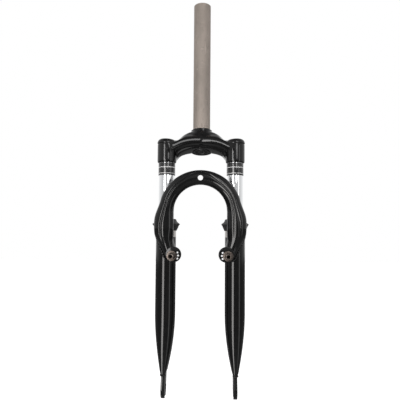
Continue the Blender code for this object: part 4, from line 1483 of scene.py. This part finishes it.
def build_world():
    """A white room, dimmer on the side that the fork faces and straight overhead."""
    world = bpy.data.worlds.new("white room")
    world.use_nodes = True
    tree = world.node_tree
    tree.nodes.clear()
    way = add(tree, "ShaderNodeTexCoord").outputs["Generated"]
    apart = add(tree, "ShaderNodeSeparateXYZ", {"Vector": way})
    back, above = Term(tree, apart.outputs["Y"]), Term(tree, apart.outputs["Z"])
    room = bpy.context.scene.fork_studio.room
    bright = (back * 0.5 + 0.5).clamp() * (room * 0.6) + room * 0.6
    bright = bright * (1.0 - ((above - 0.62) * 3.0).clamp() * 0.82)
    level = (1.0 - above / 0.14).clamp() * (back * -1.0).clamp()
    bright = bright * (1.0 - level * 0.6)
    seen = Term(tree, add(tree, "ShaderNodeLightPath").outputs["Is Camera Ray"])
    strength = bright * (1.0 - seen) + seen
    shader = add(tree, "ShaderNodeBackground", {"Color": (1, 1, 1, 1), "Strength": strength})
    out = add(tree, "ShaderNodeOutputWorld")
    tree.links.new(shader.outputs[0], out.inputs["Surface"])
    bpy.context.scene.world = world


def build_camera():
    data = bpy.data.cameras.new("view")
    data.lens = CAMERA_LENS
    camera = link("view", data)
    roll = Matrix.Rotation(CAMERA_ROLL, 3, "Z").to_quaternion()
    camera.location = CAMERA_SPOT
    camera.rotation_mode = "QUATERNION"
    camera.rotation_quaternion = CAMERA_AIM.to_track_quat("-Z", "Y") @ roll
    bpy.context.scene.camera = camera


def build_stage():
    studio = bpy.context.scene.fork_studio
    bpy.context.scene.view_settings.view_transform = "Standard"
    build_floor()
    build_world()
    lamps = {name: soft_light(name, getattr(studio, name)) for name in LIGHTS}
    lamps["key"].data.color = KEY_COLOUR
    lamps["top"].visible_glossy = False
    build_camera()


# Operators

class FORK_OT_steerer(bpy.types.Operator):
    """Builds the steerer and the insert in its lower end"""

    bl_idname = "fork.steerer"
    bl_label = "Steerer"

    def execute(self, context):
        build_steerer()
        build_bottom_plug()
        return {"FINISHED"}


class FORK_OT_crown(bpy.types.Operator):
    """Builds the forged crown with its race seat, sleeves and bottom ring"""

    bl_idname = "fork.crown"
    bl_label = "Crown"

    def execute(self, context):
        build_crown()
        return {"FINISHED"}


class FORK_OT_crown_caps(bpy.types.Operator):
    """Builds the domed caps on the crown's sleeves"""

    bl_idname = "fork.crown_caps"
    bl_label = "Crown caps"

    def execute(self, context):
        build_crown_caps()
        return {"FINISHED"}


class FORK_OT_label_bands(bpy.types.Operator):
    """Builds the printed bands under the crown"""

    bl_idname = "fork.label_bands"
    bl_label = "Printed bands"

    def execute(self, context):
        build_label_bands()
        return {"FINISHED"}


class FORK_OT_stanchions(bpy.types.Operator):
    """Builds the chrome stanchions"""

    bl_idname = "fork.stanchions"
    bl_label = "Stanchions"

    def execute(self, context):
        build_stanchions()
        return {"FINISHED"}


class FORK_OT_lower_tubes(bpy.types.Operator):
    """Builds the tapered lower legs"""

    bl_idname = "fork.lower_tubes"
    bl_label = "Lower legs"

    def execute(self, context):
        build_lower_tubes()
        return {"FINISHED"}


class FORK_OT_dropouts(bpy.types.Operator):
    """Builds the axle plates at the tips"""

    bl_idname = "fork.dropouts"
    bl_label = "Dropouts"

    def execute(self, context):
        build_dropouts()
        return {"FINISHED"}


class FORK_OT_dust_seals(bpy.types.Operator):
    """Builds the rubber wiper seals"""

    bl_idname = "fork.dust_seals"
    bl_label = "Dust seals"

    def execute(self, context):
        build_dust_seals()
        return {"FINISHED"}


class FORK_OT_brake_arch(bpy.types.Operator):
    """Builds the pressed brake arch"""

    bl_idname = "fork.brake_arch"
    bl_label = "Brake arch"

    def execute(self, context):
        build_brake_arch()
        return {"FINISHED"}


class FORK_OT_brake_bosses(bpy.types.Operator):
    """Builds the brake pivot studs and their spring anchor plates"""

    bl_idname = "fork.brake_bosses"
    bl_label = "Brake studs"

    def execute(self, context):
        build_brake_bosses()
        build_anchor_plates()
        return {"FINISHED"}


class FORK_OT_welds(bpy.types.Operator):
    """Builds the weld beads on the lower assembly"""

    bl_idname = "fork.welds"
    bl_label = "Weld beads"

    def execute(self, context):
        build_welds()
        return {"FINISHED"}


class FORK_OT_springs(bpy.types.Operator):
    """Builds the main springs"""

    bl_idname = "fork.springs"
    bl_label = "Main springs"

    def execute(self, context):
        build_springs()
        return {"FINISHED"}


class FORK_OT_inner_parts(bpy.types.Operator):
    """Finishes the bushings, clips, rods and bumpers inside the legs"""

    bl_idname = "fork.inner_parts"
    bl_label = "Inner parts"

    def execute(self, context):
        finish_inner_parts()
        return {"FINISHED"}


class FORK_OT_stage(bpy.types.Operator):
    """Builds the floor, the white room, the lights and the camera"""

    bl_idname = "fork.stage"
    bl_label = "Studio"

    def execute(self, context):
        build_stage()
        return {"FINISHED"}


OPERATORS = (
    FORK_OT_stage, FORK_OT_steerer, FORK_OT_crown, FORK_OT_crown_caps, FORK_OT_label_bands,
    FORK_OT_stanchions, FORK_OT_lower_tubes, FORK_OT_dropouts, FORK_OT_dust_seals,
    FORK_OT_brake_arch, FORK_OT_brake_bosses, FORK_OT_welds, FORK_OT_springs,
    FORK_OT_inner_parts,
)
GROUPS = {
    "fork_sizes": ForkSizes,
    "fork_finishes": ForkFinishes,
    "fork_studio": ForkStudio,
}


class FORK_PT_panel(bpy.types.Panel):
    """Lists the fork's sizes, finishes and pieces"""

    bl_idname = "FORK_PT_panel"
    bl_label = "Suspension fork"
    bl_space_type = "VIEW_3D"
    bl_region_type = "UI"
    bl_category = "Fork"

    def draw(self, context):
        for owner in GROUPS:
            group = getattr(context.scene, owner)
            box = self.layout.box()
            for label in group.bl_rna.properties.keys():
                if label not in ("rna_type", "name"):
                    box.prop(group, label)
        for operator in OPERATORS:
            self.layout.operator(operator.bl_idname)


def register():
    for made in (*GROUPS.values(), *OPERATORS, FORK_PT_panel):
        bpy.utils.register_class(made)
    for owner, group in GROUPS.items():
        setattr(bpy.types.Scene, owner, bpy.props.PointerProperty(type=group))


def unregister():
    for owner in GROUPS:
        delattr(bpy.types.Scene, owner)
    for made in (FORK_PT_panel, *OPERATORS, *GROUPS.values()):
        bpy.utils.unregister_class(made)


def main():
    register()
    for operator in OPERATORS:
        getattr(bpy.ops.fork, operator.bl_idname.split(".")[1])()


if __name__ == "__main__":
    main()
